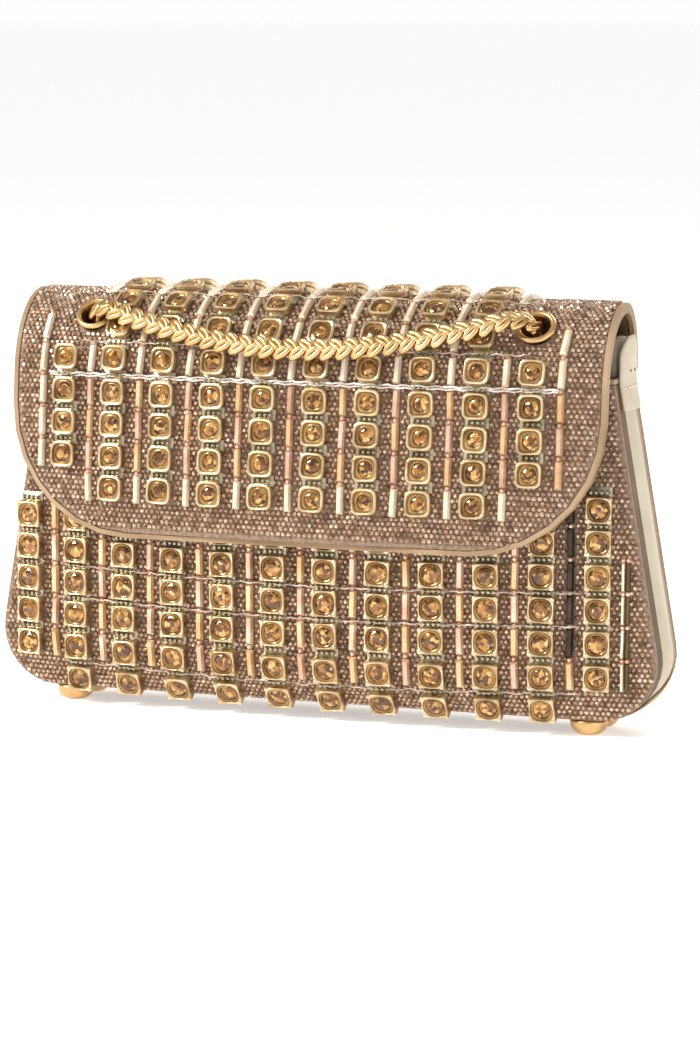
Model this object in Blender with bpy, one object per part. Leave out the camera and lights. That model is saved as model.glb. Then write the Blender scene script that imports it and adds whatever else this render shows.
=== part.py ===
"""Evening bag: a hard-sided clutch covered in square stone settings, with a hinged flap.

Metres, +Z up. The front faces -Y, and the feet stand on z = 0. Two bodies carry everything:
the bag body, and the flap, which turns on a line along the top of the back panel. Two small
rings hang in the mouth and hold the ends of the chain.
"""
import math

import bmesh
import bpy
from mathutils import Matrix, Vector

MM = 0.001
GAP = 0.3 * MM  # clearance between pieces that touch on the real bag

# Bag body: a trapezoid seen from the front, with rounded lower corners
BASE_Z = 5.5 * MM  # underside of the base, the height of the feet
MOUTH_Z = 118 * MM  # top of the front panel and gussets
BASE_HALF_WIDTH = 122.5 * MM  # sides run out to this at the base, before the corners are rounded
SIDE_SLOPE = 0.172  # how much each side leans in for each unit of height
CORNER_RADIUS = 20 * MM
SEAM_HALF_DEPTH = 13 * MM  # seams lie this far in front of and behind the middle
BULGE = 8.3 * MM  # how far front and back swell beyond their seams
BULGE_HEIGHT = 20 * MM  # height over which the swell dies away to the base
PANEL_THICK = 2.0 * MM
BACK_TOP_RISE = 1.8 * MM  # the back panel ends this much above the mouth, at the hinge

# Sides and base, between the two panels
BAND_FRONT_WIDTH = 5.4 * MM
BAND_BACK_WIDTH = 2.2 * MM
GUSSET_THICK = 1.6 * MM
GUSSET_ROUND = 1.2 * MM  # the gusset swells outward by this much

# Inside
LINING_THICK = 1.0 * MM
LINING_INSET = 3.2 * MM  # lining's outer face, measured in from the outside of the panels
POCKET_HALF_WIDTH = 42 * MM
POCKET_BOTTOM = 42 * MM
POCKET_TOP = MOUTH_Z - 22 * MM
POCKET_ROOM = 6.0 * MM
POCKET_WALL = 1.0 * MM

# Feet
FOOT_RADIUS = 6.4 * MM
FOOT_FLAT_RADIUS = 2.5 * MM
FOOT_INSET = 28.5 * MM  # middle of a foot, in from where the sides would meet the base
FOOT_X = BASE_HALF_WIDTH - FOOT_INSET
FOOT_Y = 7.2 * MM

# Flap: a straight front, a wide arc over the front shoulder and a tighter one behind
FLAP_SHIFT = -3.5 * MM  # the flap is sewn a little to the left of the bag's middle
FLAP_INSET = 18 * MM  # each side of the flap, in from the widest part of the bag
FLAP_HALF_WIDTH = BASE_HALF_WIDTH - FLAP_INSET
FLAP_DROP = 54.7 * MM  # the lower edge hangs this far under the mouth
FLAP_BOTTOM_Z = MOUTH_Z - FLAP_DROP
FLAP_CORNER = 43 * MM
FLAP_LEAN = math.radians(5.4)  # the front leans out toward its lower edge
SHOULDER_Z = MOUTH_Z - 1.4 * MM  # the straight front ends here
BACK_RADIUS = 19 * MM
FLAP_BACK_ROOM = 1.1 * MM  # the flap's outside stands this far behind the back panel
FLAP_FRONT_ROOM = 5.3 * MM  # and its shoulder this far in front of the front panel
FLAP_BACK_Y = SEAM_HALF_DEPTH + BULGE + FLAP_BACK_ROOM
FLAP_DEPTH = 2 * (SEAM_HALF_DEPTH + BULGE) + FLAP_BACK_ROOM + FLAP_FRONT_ROOM
SHOULDER_RADIUS = FLAP_DEPTH - BACK_RADIUS
FLAP_END_Z = MOUTH_Z + 2.9 * MM
FLAP_BOW = 0.51  # bow in plan, in metres of set-back for a metre of x squared
FLAP_THICK = 2.2 * MM
FLAP_LINING_THICK = 0.8 * MM
BINDING_WIDTH = 1.6 * MM

# Stone settings
SETTING = 8.8 * MM  # side of a square setting
SETTING_HEIGHT = 4.3 * MM
BACKING = 0.7 * MM  # metal strip that joins the settings of one column
FIELD_LIFT = 0.6 * MM  # the back's flat-backed settings stand off the curved panel by this
FLAP_COLUMNS = 10
FLAP_BORDER = 11.5 * MM  # plain border left at each side of the flap's columns
FLAP_PITCH = 2 * (FLAP_HALF_WIDTH - FLAP_BORDER) / FLAP_COLUMNS
FLAP_ROW_PITCH = 11.0 * MM
FLAP_FIRST_ROW = 14.8 * MM  # along the surface, from the flap's lower edge
FLAP_PATTERN_SHIFT = -1.4 * MM
FLAP_ROWS = 11
FLAP_SIDE_ROWS = (1, 5)  # outer columns start above the corner and stop below the eyelet
BODY_COLUMNS = 12
BODY_BORDER = 10.3 * MM
BODY_PITCH = 2 * (BASE_HALF_WIDTH - BODY_BORDER) / BODY_COLUMNS
BODY_ROW_PITCH = 11.2 * MM
BODY_FIRST_ROW = 4.7 * MM
BODY_PATTERN_SHIFT = -3.6 * MM
BODY_ROWS = int((FLAP_BOTTOM_Z - BASE_Z - BODY_FIRST_ROW) / BODY_ROW_PITCH) + 2
BACK_ROWS = int((MOUTH_Z - BASE_Z - BODY_FIRST_ROW) / BODY_ROW_PITCH)

# Eyelets and chain
EYELET_BORE = 4.9 * MM
EYELET_BARREL = EYELET_BORE + 0.8 * MM
EYELET_RADIUS = EYELET_BORE + 2.1 * MM
EYELET_SHIFT = 1.3 * MM  # from the flap's middle
EYELET_SIDE = SETTING / 2 + EYELET_RADIUS + EYELET_SHIFT - FLAP_PATTERN_SHIFT
EYELET_X = (FLAP_COLUMNS / 2 - 1.5) * FLAP_PITCH + EYELET_SIDE  # just outside the inner columns
EYELET_ALONG = FLAP_FIRST_ROW + 5.52 * FLAP_ROW_PITCH  # up the surface from the lower edge
WASHER_DROP = 2.4 * MM  # the flat washer hangs this far under the curved flap's middle
CHAIN_RADIUS = 2.9 * MM
CHAIN_LOW = FLAP_FIRST_ROW + 4.35 * FLAP_ROW_PITCH  # lowest point, between two rows
CHAIN_HEIGHT = SETTING_HEIGHT + CHAIN_RADIUS + 0.4 * MM  # its middle, clear of the settings
HANK_MIDDLE_ROOM = 11 * MM  # a hank ends this far from the bag's middle
HANK_SIDE_ROOM = 33.5 * MM  # and this far in from where the sides would meet the base
HANK_LENGTH = BASE_HALF_WIDTH - HANK_MIDDLE_ROOM - HANK_SIDE_ROOM
HANK_WIDTH = 17 * MM
HANK_HEIGHT = 13 * MM
HANK_X = HANK_MIDDLE_ROOM + HANK_LENGTH / 2

# Chain anchors
TAB_HEIGHT = 13 * MM
TAB_DEPTH = 16 * MM
TAB_THICK = 1.6 * MM
LOOP_RADIUS = 3.0 * MM
LOOP_BORE = 1.6 * MM
LOOP_WIDTH = 7 * MM
RING_WIRE = 0.9 * MM
RING_HALF = 5.4 * MM

# Magnetic catch
MAGNET_RADIUS = 8 * MM
MAGNET_Z = MOUTH_Z - 34 * MM
MAGNET_THICK = 2.0 * MM

SEAM_TO_BAND = PANEL_THICK + GAP
BAND_FRONT_Y = -SEAM_HALF_DEPTH + SEAM_TO_BAND
GUSSET_FRONT_Y = BAND_FRONT_Y + BAND_FRONT_WIDTH + GAP
BAND_BACK_Y = SEAM_HALF_DEPTH - SEAM_TO_BAND
GUSSET_BACK_Y = BAND_BACK_Y - BAND_BACK_WIDTH - GAP


# ---------------------------------------------------------------- mesh helpers


def add_mesh(name, points, faces):
    """One object from points and faces, with its normals facing out."""
    mesh = bpy.data.meshes.new(name)
    mesh.from_pydata([tuple(p) for p in points], [], faces)
    shaped = bmesh.new()
    shaped.from_mesh(mesh)
    bmesh.ops.remove_doubles(shaped, verts=shaped.verts, dist=0.002 * MM)
    bmesh.ops.recalc_face_normals(shaped, faces=shaped.faces)
    shaped.to_mesh(mesh)
    shaped.free()
    piece = bpy.data.objects.new(name, mesh)
    bpy.context.collection.objects.link(piece)
    return piece


def grid_faces(start, rows, columns, flip=False):
    """Quads of a grid of points, row after row, whose first point is number start."""
    faces = []
    for i in range(rows - 1):
        for j in range(columns - 1):
            a = start + i * columns + j
            quad = (a, a + 1, a + 1 + columns, a + columns)
            faces.append(quad[::-1] if flip else quad)
    return faces


def thick_sheet(name, outer, inner):
    """A closed sheet between two grids of points of the same size."""
    rows, columns = len(outer), len(outer[0])
    points = [p for row in outer for p in row] + [p for row in inner for p in row]
    shift = rows * columns
    faces = grid_faces(0, rows, columns) + grid_faces(shift, rows, columns, flip=True)
    edge = [(0, j) for j in range(columns)]
    edge += [(i, columns - 1) for i in range(1, rows)]
    edge += [(rows - 1, j) for j in range(columns - 2, -1, -1)]
    edge += [(i, 0) for i in range(rows - 2, 0, -1)]
    loop = [i * columns + j for i, j in edge]
    for a, b in zip(loop, loop[1:] + loop[:1]):
        faces.append((a, b, b + shift, a + shift))
    return add_mesh(name, points, faces)


def turned(name, profile, centre, axis, sides=28):
    """A closed profile of (radius, height) pairs, turned about an axis through centre."""
    turn = Vector((0, 0, 1)).rotation_difference(axis).to_matrix()
    points = []
    for radius, height in profile:
        for k in range(sides):
            angle = 2 * math.pi * k / sides
            flat = Vector((radius * math.cos(angle), radius * math.sin(angle), height))
            points.append(centre + turn @ flat)
    faces = []
    count = len(profile)
    for i in range(count):
        below, above = i * sides, (i + 1) % count * sides
        for k in range(sides):
            after = (k + 1) % sides
            faces.append((below + k, below + after, above + after, above + k))
    return add_mesh(name, points, faces)


def solid_of_revolution(name, profile, centre, axis, sides=28):
    """Like turned, for a profile whose first and last points are its flat ends' rims."""
    turn = Vector((0, 0, 1)).rotation_difference(axis).to_matrix()
    points = []
    for radius, height in profile:
        for k in range(sides):
            angle = 2 * math.pi * k / sides
            flat = Vector((radius * math.cos(angle), radius * math.sin(angle), height))
            points.append(centre + turn @ flat)
    faces = [tuple(range(sides)), tuple(range((len(profile) - 1) * sides, len(profile) * sides))]
    for i in range(len(profile) - 1):
        for k in range(sides):
            after = (k + 1) % sides
            faces.append(
                (i * sides + k, i * sides + after, (i + 1) * sides + after, (i + 1) * sides + k)
            )
    return add_mesh(name, points, faces)


def curve_tube(name, points, radius, closed=False):
    """A round tube along the points."""
    line = bpy.data.curves.new(name, "CURVE")
    line.dimensions = "3D"
    line.bevel_depth = radius
    line.bevel_resolution = 2
    line.use_fill_caps = not closed
    spline = line.splines.new("POLY")
    spline.points.add(len(points) - 1)
    for place, point in zip(spline.points, points):
        place.co = (point[0], point[1], point[2], 1)
    spline.use_cyclic_u = closed
    piece = bpy.data.objects.new(name, line)
    bpy.context.collection.objects.link(piece)
    return piece


def smooth_route(corners, count):
    """Points read from a smooth curve through the corners."""
    ends = [corners[0] * 2 - corners[1]] + corners + [corners[-1] * 2 - corners[-2]]
    spans = len(corners) - 1
    route = []
    for k in range(count):
        place = k / (count - 1) * spans
        i = min(int(place), spans - 1)
        t = place - i
        a, b, c, d = ends[i : i + 4]
        bend = (a * 2 - b * 5 + c * 4 - d) * t * t + (b * 3 - a - c * 3 + d) * t**3
        route.append((b * 2 + (c - a) * t + bend) / 2)
    return route


def cut(piece, cutter, operation="DIFFERENCE"):
    """Cut a piece with another one, or join them, and keep only the result."""
    cutter.hide_render = True
    tool = piece.modifiers.new(cutter.name, "BOOLEAN")
    tool.operation = operation
    tool.solver = "EXACT"
    tool.object = cutter


# ---------------------------------------------------------------- shape of the body


def outline(z, inset=0.0):
    """Half the bag's width at height z, with rounded lower corners, or of a shape inside it."""
    tilt = math.atan(SIDE_SLOPE)
    straight = BASE_HALF_WIDTH - SIDE_SLOPE * (z - BASE_Z) - inset / math.cos(tilt)
    corner_x = BASE_HALF_WIDTH - SIDE_SLOPE * CORNER_RADIUS - CORNER_RADIUS / math.cos(tilt)
    corner_z = BASE_Z + CORNER_RADIUS
    radius = CORNER_RADIUS - inset
    if z >= corner_z + radius * math.sin(tilt):
        return straight
    drop = min(corner_z - z, radius)
    return corner_x + math.sqrt(radius**2 - drop**2)


def corner_heights():
    """Heights of the points round a lower corner, from the base up."""
    tilt = math.atan(SIDE_SLOPE)
    angles = [-math.pi / 2 + (math.pi / 2 + tilt) * k / 8 for k in range(9)]
    return [BASE_Z + CORNER_RADIUS * (1 + math.sin(a)) for a in angles]


def body_heights(top):
    """Heights of the rows of points up the body's panels."""
    corner = corner_heights()
    return corner + [corner[-1] + (top - corner[-1]) * k / 7 for k in range(1, 8)]


def swell(x, z):
    """How far a panel stands out beyond its seam at (x, z)."""
    across = 1 - min(abs(x) / outline(z), 1) ** 2
    height = min((z - BASE_Z) / BULGE_HEIGHT, 1)
    return BULGE * across * (1 - (1 - height) ** 2)


def panel_point(x, z, side):
    """A point on the outside of the front panel (side -1) or the back panel (side 1)."""
    return Vector((x, side * (SEAM_HALF_DEPTH + swell(x, z)), z))


def panel_normal(x, z, side):
    """The panel's outward direction at (x, z), leaving out its slight turn in plan."""
    step = 0.2 * MM
    low = max(z - step, BASE_Z)
    rise = swell(x, z + step) - swell(x, low)
    return Vector((0, side * (z + step - low), -rise)).normalized()


def make_panel(name, side, top):
    heights = body_heights(top)
    across = [math.sin(math.pi * (k / 16 - 0.5)) * 0.35 + (k / 8 - 1) * 0.65 for k in range(17)]
    outer, inner = [], []
    for z in heights:
        width = outline(z)
        row = [panel_point(u * width, z, side) for u in across]
        outer.append(row)
        inner.append(
            [p - panel_normal(p.x, z, side) * PANEL_THICK for p in row]
        )
    return thick_sheet(name, outer, inner)


def side_path(inset):
    """Points down a side and round its corner, as (x, z, outward direction)."""
    tilt = math.atan(SIDE_SLOPE)
    heights = body_heights(MOUTH_Z)[::-1]
    path = []
    for z in heights:
        width = outline(z)
        if z > BASE_Z + CORNER_RADIUS * (1 + math.sin(tilt)):
            out = Vector((math.cos(tilt), 0, math.sin(tilt)))
        else:
            up = (z - BASE_Z - CORNER_RADIUS) / CORNER_RADIUS
            out = Vector((math.sqrt(max(1 - up * up, 0)), 0, up))
        path.append((Vector((width, 0, z)) - out * inset, out))
    return path


def make_band(name, near, far):
    """A narrow leather band down one side, under the base and up the other side."""
    right = side_path(0)
    left = [(Vector((-p.x, 0, p.z)), Vector((-n.x, 0, n.z))) for p, n in right]
    whole = right + left[::-1]
    outer = [[p + Vector((0, y, 0)) for y in (near, far)] for p, n in whole]
    inner = [[p - n * GUSSET_THICK + Vector((0, y, 0)) for y in (near, far)] for p, n in whole]
    return thick_sheet(name, outer, inner)


def make_gusset(name, side):
    """The soft side of the bag, from the mouth down to the end of the corner."""
    middle = (GUSSET_FRONT_Y + GUSSET_BACK_Y) / 2
    half = (GUSSET_BACK_Y - GUSSET_FRONT_Y) / 2
    outer, inner = [], []
    for p, n in side_path(0):
        place = Vector((side * p.x, 0, p.z))
        out = Vector((side * n.x, 0, n.z))
        fade = min((p.z - BASE_Z) / CORNER_RADIUS, 1)
        rows = ([], [])
        for k in range(7):
            u = k / 3 - 1
            y = Vector((0, middle + half * u, 0))
            bow = out * GUSSET_ROUND * (1 - u * u) * fade
            rows[0].append(place + y + bow)
            rows[1].append(place + y + bow - out * GUSSET_THICK)
        outer.append(rows[0])
        inner.append(rows[1])
    return thick_sheet(name, outer, inner)


def make_base():
    """The flat base between the two gussets' lower ends."""
    half = outline(BASE_Z) - GAP
    xs = [half * (k / 4 - 1) for k in range(9)]
    ys = (GUSSET_FRONT_Y, GUSSET_BACK_Y)
    outer = [[Vector((x, y, BASE_Z)) for y in ys] for x in xs]
    inner = [[Vector((x, y, BASE_Z + GUSSET_THICK)) for y in ys] for x in xs]
    return thick_sheet("base_panel", outer, inner)


def lining_ring(z, inset, sections=12):
    """A closed ring of points round the inside of the body, inset from its outside."""
    width = outline(z, inset)
    xs = [width * (k * 2 / sections - 1) for k in range(sections + 1)]
    depth = [SEAM_HALF_DEPTH + swell(x, z) - inset for x in xs]
    front = [Vector((x, -d, z)) for x, d in zip(xs, depth)]
    back = [Vector((x, d, z)) for x, d in zip(xs, depth)]
    return front + back[::-1]


def make_lining():
    """An open bag of thin board and cloth that stands inside the panels."""
    inset = LINING_INSET
    shrink = 1 - inset / CORNER_RADIUS
    corner = [BASE_Z + inset + (z - BASE_Z) * shrink for z in corner_heights()]
    rows = corner + body_heights(MOUTH_Z)[len(corner) :]
    outer = [lining_ring(z, inset) for z in rows]
    inner_rows = [z + LINING_THICK for z in rows[:-1]] + [rows[-1]]
    inner = [lining_ring(z, inset + LINING_THICK) for z in inner_rows]
    size = len(outer[0])
    rings = outer[::-1] + inner
    points = [p for ring in rings for p in ring]
    # The outside runs down from the mouth to the floor, and the inside runs back up
    faces = []
    for i in range(len(outer) - 1):
        for k in range(size):
            after = (k + 1) % size
            a, b = i * size, (i + 1) * size
            faces.append((a + k, a + after, b + after, b + k))
    start = len(outer) * size
    for i in range(len(inner) - 1):
        for k in range(size):
            after = (k + 1) % size
            a, b = start + i * size, start + (i + 1) * size
            faces.append((a + k, a + after, b + after, b + k))
    top_inner = start + (len(inner) - 1) * size
    for k in range(size):
        after = (k + 1) % size
        faces.append((k, after, top_inner + after, top_inner + k))
    for first in ((len(outer) - 1) * size, start):
        for k in range(size // 2 - 1):
            faces.append((first + k, first + k + 1, first + size - 2 - k, first + size - 1 - k))
    return add_mesh("lining", points, faces)


def make_pocket():
    """A slip pocket, open at its top, against the back wall of the lining."""
    depth = POCKET_ROOM + 2 * POCKET_WALL
    xs = [POCKET_HALF_WIDTH * (k / 4 - 1) for k in range(9)]
    inner_xs = [(POCKET_HALF_WIDTH - POCKET_WALL) * (k / 4 - 1) for k in range(9)]

    def ring(places, near, far, z):
        wall = LINING_INSET + LINING_THICK + GAP
        ys = [SEAM_HALF_DEPTH + swell(x, MOUTH_Z * 0.5) - wall for x in places]
        front = [Vector((x, y - far, z)) for x, y in zip(places, ys)]
        back = [Vector((x, y - near, z)) for x, y in zip(places, ys)]
        return front + back[::-1]

    rings = [
        ring(xs, 0, depth, POCKET_TOP),
        ring(xs, 0, depth, POCKET_BOTTOM),
        ring(inner_xs, POCKET_WALL, depth - POCKET_WALL, POCKET_BOTTOM + POCKET_WALL),
        ring(inner_xs, POCKET_WALL, depth - POCKET_WALL, POCKET_TOP),
    ]
    size = len(rings[0])
    points = [p for one in rings for p in one]
    faces = []
    for a, b in ((0, 1), (2, 3), (3, 0)):
        for k in range(size):
            after = (k + 1) % size
            faces.append((a * size + k, a * size + after, b * size + after, b * size + k))
    for first in (size, 2 * size):
        for k in range(size // 2 - 1):
            faces.append((first + k, first + k + 1, first + size - 2 - k, first + size - 1 - k))
    return add_mesh("slip_pocket", points, faces)


def make_mouth_binding():
    """A flat binding on top of the front panel and the gussets, open toward the hinge."""
    inside = LINING_INSET + LINING_THICK
    outer_half = outline(MOUTH_Z)
    inner_half = outer_half - inside
    xs = [outer_half * (k / 6 - 1) for k in range(13)]
    outer = [Vector((-outer_half, GUSSET_BACK_Y, 0))]
    outer += [panel_point(x, MOUTH_Z, -1) for x in xs]
    outer += [Vector((outer_half, GUSSET_BACK_Y, 0))]
    inner = [Vector((-inner_half, GUSSET_BACK_Y, 0))]
    for x in xs:
        place = panel_point(x, MOUTH_Z, -1) + Vector((0, inside, 0))
        place.x = max(-inner_half, min(inner_half, x))
        inner.append(place)
    inner += [Vector((inner_half, GUSSET_BACK_Y, 0))]
    low, high = MOUTH_Z + GAP, MOUTH_Z + BACK_TOP_RISE
    lower = [[Vector((p.x, p.y, low)) for p in pair] for pair in zip(outer, inner)]
    upper = [[Vector((p.x, p.y, high)) for p in pair] for pair in zip(outer, inner)]
    return thick_sheet("mouth_binding", lower, upper)


def make_foot(name, x, y):
    """A domed metal foot with a small flat to stand on."""
    height = BASE_Z - GAP
    profile = [(FOOT_FLAT_RADIUS, 0)]
    for k in range(1, 6):
        angle = math.radians(18 * k)
        spread = FOOT_FLAT_RADIUS + (FOOT_RADIUS - FOOT_FLAT_RADIUS) * math.sin(angle)
        profile.append((spread, height * 0.85 * (1 - math.cos(angle))))
    profile.append((FOOT_RADIUS, height))
    return solid_of_revolution(name, profile, Vector((x, y, 0)), Vector((0, 0, 1)), 24)


# ---------------------------------------------------------------- shape of the flap


def flap_profile(s):
    """The flap's outside in the middle, at distance s up from its lower edge.

    Gives (y, z) and the outward direction (y, z).
    """
    shoulder_y = FLAP_BACK_Y - BACK_RADIUS - SHOULDER_RADIUS * math.cos(FLAP_LEAN)
    front = (SHOULDER_Z - FLAP_BOTTOM_Z) / math.cos(FLAP_LEAN)
    crown_z = SHOULDER_Z - SHOULDER_RADIUS * math.sin(FLAP_LEAN) + SHOULDER_RADIUS
    shoulder = SHOULDER_RADIUS * (math.pi / 2 - FLAP_LEAN)
    back = BACK_RADIUS * math.pi / 2
    if s <= front:
        left = front - s
        y = shoulder_y - left * math.sin(FLAP_LEAN)
        z = SHOULDER_Z - left * math.cos(FLAP_LEAN)
        return y, z, -math.cos(FLAP_LEAN), math.sin(FLAP_LEAN)
    if s <= front + shoulder:
        angle = math.pi - FLAP_LEAN - (s - front) / SHOULDER_RADIUS
        y = FLAP_BACK_Y - BACK_RADIUS + SHOULDER_RADIUS * math.cos(angle)
        z = crown_z - SHOULDER_RADIUS + SHOULDER_RADIUS * math.sin(angle)
        return y, z, math.cos(angle), math.sin(angle)
    if s <= front + shoulder + back:
        angle = math.pi / 2 - (s - front - shoulder) / BACK_RADIUS
        y = FLAP_BACK_Y - BACK_RADIUS + BACK_RADIUS * math.cos(angle)
        z = crown_z - BACK_RADIUS + BACK_RADIUS * math.sin(angle)
        return y, z, math.cos(angle), math.sin(angle)
    return FLAP_BACK_Y, crown_z - BACK_RADIUS - (s - front - shoulder - back), 1, 0


def flap_length():
    """Distance over the flap from its lower edge to its end at the hinge."""
    front = (SHOULDER_Z - FLAP_BOTTOM_Z) / math.cos(FLAP_LEAN)
    crown_z = SHOULDER_Z - SHOULDER_RADIUS * math.sin(FLAP_LEAN) + SHOULDER_RADIUS
    arcs = SHOULDER_RADIUS * (math.pi / 2 - FLAP_LEAN) + BACK_RADIUS * math.pi / 2
    return front + arcs + crown_z - BACK_RADIUS - FLAP_END_Z


def flap_point(x, s, height=0.0):
    """A point at x from the flap's middle, s along it and height above its outside."""
    y, z, out_y, out_z = flap_profile(s)
    y -= out_y * FLAP_BOW * x * x
    return Vector((x + FLAP_SHIFT, y + out_y * height, z + out_z * height))


def flap_normal(s):
    return Vector((0, flap_profile(s)[2], flap_profile(s)[3]))


def flap_half_width(s):
    if s >= FLAP_CORNER:
        return FLAP_HALF_WIDTH
    return FLAP_HALF_WIDTH - FLAP_CORNER + math.sqrt(FLAP_CORNER**2 - (FLAP_CORNER - s) ** 2)


def flap_stations():
    """Distances along the flap of its rows of points."""
    corner = [FLAP_CORNER * (1 - math.cos(math.pi / 2 * k / 7)) for k in range(8)]
    rest = flap_length() - FLAP_CORNER
    return corner + [FLAP_CORNER + rest * k / 17 for k in range(1, 18)]


def flap_sheet(name, top, bottom, inset):
    """A sheet that follows the flap between two heights, held in from its edge."""
    outer, inner = [], []
    for s in flap_stations():
        along = max(min(s, flap_length()), inset) if inset else s
        width = flap_half_width(s) - inset
        xs = [width * (k / 6 - 1) for k in range(13)]
        outer.append([flap_point(x, along, top) for x in xs])
        inner.append([flap_point(x, along, bottom) for x in xs])
    return thick_sheet(name, outer, inner)


def make_flap_binding():
    """A thin leather binding round the flap's two sides and its lower edge."""
    near, far = GAP, GAP + BINDING_WIDTH
    stations = flap_stations()
    edge = []
    for k, s in enumerate(stations):
        if s >= FLAP_CORNER:
            out = Vector((1, 0))
        else:
            drop = (FLAP_CORNER - s) / FLAP_CORNER
            out = Vector((math.sqrt(max(1 - drop * drop, 0)), -drop))
        edge.append((flap_half_width(s), s, out))
    left = [(-x, s, Vector((-out.x, out.y))) for x, s, out in edge]
    whole = left[::-1] + edge
    low, high = -FLAP_THICK - FLAP_LINING_THICK, 0.4 * MM

    def row(distance):
        places = []
        for x, s, out in whole:
            across, along = x + out.x * distance, s + out.y * distance
            places.append([binding_point(across, along, h) for h in (low, high)])
        return places

    return thick_sheet("flap_binding", row(far), row(near))


def binding_point(x, s, height):
    """Like flap_point, and it also runs straight on below the flap's lower edge."""
    if s >= 0:
        return flap_point(x, s, height)
    lean = Vector((0, math.sin(FLAP_LEAN), math.cos(FLAP_LEAN)))
    return flap_point(x, 0, height) + lean * s


# ---------------------------------------------------------------- stone settings


def comb(name, place, rows, pitch, first, half_width):
    """One column of square settings on its backing strip.

    place(offset, s, height) gives the point beside the column's middle, along the surface
    and above it. rows are the numbers of the settings in the column.
    """
    top, bottom = [], []
    for row in rows:
        middle = first + row * pitch
        start, end = middle - SETTING / 2, middle + SETTING / 2
        top += [(start, BACKING), (start, SETTING_HEIGHT), (end, SETTING_HEIGHT), (end, BACKING)]
        bottom += [(start, GAP), (middle, GAP), (end, GAP)]
    loop = top[1:-1] + bottom[::-1]
    count = len(loop)
    points = [place(-half_width, s, h) for s, h in loop]
    points += [place(half_width, s, h) for s, h in loop]
    faces = [tuple(range(count)), tuple(range(count, 2 * count))]
    for k in range(count):
        after = (k + 1) % count
        faces.append((k, after, after + count, k + count))
    return add_mesh(name, points, faces)


def panel_station(x, s):
    """Height on a panel at distance s up from its lower edge, at x."""
    z, walked, step = BASE_Z, 0.0, 0.25 * MM
    while walked < s:
        rise = swell(x, z + step) - swell(x, z)
        walked += math.hypot(step, rise)
        z += step
    return z


def make_body_column(number):
    x = (number - (BODY_COLUMNS + 1) / 2) * BODY_PITCH + BODY_PATTERN_SHIFT
    reach = abs(x) + SETTING / 2

    def place(offset, s, height):
        z = panel_station(x, s)
        return panel_point(x + offset, z, -1) + panel_normal(x, z, -1) * height

    rows = []
    for row in range(BODY_ROWS + 1):
        s = BODY_FIRST_ROW + row * BODY_ROW_PITCH
        low, high = panel_station(x, s - SETTING / 2), panel_station(x, s + SETTING / 2)
        inside = min(outline(low), outline(high)) > reach
        if inside and (row < BODY_ROWS or number == BODY_COLUMNS):
            rows.append(row)
    name = f"body_settings_{number:02d}"
    return comb(name, place, rows, BODY_ROW_PITCH, BODY_FIRST_ROW, SETTING / 2)


def make_back_field():
    """The back's settings, standing on one thin sheet of backing."""
    xs, stations = [], []
    for number in range(1, BODY_COLUMNS + 1):
        middle = (number - (BODY_COLUMNS + 1) / 2) * BODY_PITCH
        xs += [middle - SETTING / 2, middle + SETTING / 2]
    for row in range(1, BACK_ROWS + 1):
        middle = BODY_FIRST_ROW + row * BODY_ROW_PITCH
        stations += [middle - SETTING / 2, middle + SETTING / 2]
    xs = xs[2:-2]
    heights = [panel_station(0, s) for s in stations]

    def place(i, j, height):
        return panel_point(xs[j], heights[i], 1) + panel_normal(xs[j], heights[i], 1) * height

    rows, columns = len(heights), len(xs)
    points, faces = [], []
    for height in (FIELD_LIFT, FIELD_LIFT + BACKING, SETTING_HEIGHT):
        points += [place(i, j, height) for i in range(rows) for j in range(columns)]
    layer = rows * columns
    faces += grid_faces(0, rows, columns, flip=True)
    for i in range(rows - 1):
        for j in range(columns - 1):
            a, b = i * columns + j, i * columns + j + 1
            c, d = b + columns, a + columns
            if i % 2 or j % 2:
                faces.append((a + layer, b + layer, c + layer, d + layer))
                continue
            faces.append((a + 2 * layer, b + 2 * layer, c + 2 * layer, d + 2 * layer))
            for p, q in ((a, b), (b, c), (c, d), (d, a)):
                faces.append((p + layer, q + layer, q + 2 * layer, p + 2 * layer))
    edge = [j for j in range(columns)]
    edge += [i * columns + columns - 1 for i in range(1, rows)]
    edge += [(rows - 1) * columns + j for j in range(columns - 2, -1, -1)]
    edge += [i * columns for i in range(rows - 2, 0, -1)]
    for p, q in zip(edge, edge[1:] + edge[:1]):
        faces.append((p, q, q + layer, p + layer))
    return add_mesh("back_settings", points, faces)


def make_flap_column(number):
    x = (number - (FLAP_COLUMNS + 1) / 2) * FLAP_PITCH + FLAP_PATTERN_SHIFT
    outer = number in (1, FLAP_COLUMNS)
    rows = range(*FLAP_SIDE_ROWS) if outer else range(FLAP_ROWS)

    def place(offset, s, height):
        return flap_point(x + offset, s, height)

    name = f"flap_settings_{number:02d}"
    return comb(name, place, rows, FLAP_ROW_PITCH, FLAP_FIRST_ROW, SETTING / 2)


# ---------------------------------------------------------------- metal fittings


def eyelet_frame(side):
    """Middle of an eyelet on the flap's outside, and its outward direction."""
    centre = flap_point(side * EYELET_X + EYELET_SHIFT, EYELET_ALONG)
    return centre, flap_normal(EYELET_ALONG)


def make_eyelet(name, side):
    """A rolled metal eyelet: a rim on the outside and a barrel through the flap."""
    centre, out = eyelet_frame(side)
    inner_end = -FLAP_THICK - FLAP_LINING_THICK - WASHER_DROP - 0.9 * MM
    profile = [
        (EYELET_BORE, inner_end),
        (EYELET_BARREL, inner_end),
        (EYELET_BARREL, 0.7 * MM),
        (EYELET_RADIUS, 0.7 * MM),
        (EYELET_RADIUS - 0.2 * MM, 1.5 * MM),
        (EYELET_BARREL + 0.4 * MM, 2.1 * MM),
        (EYELET_BORE + 0.2 * MM, 1.8 * MM),
        (EYELET_BORE, 1.1 * MM),
    ]
    return turned(name, profile, centre, out)


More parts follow.
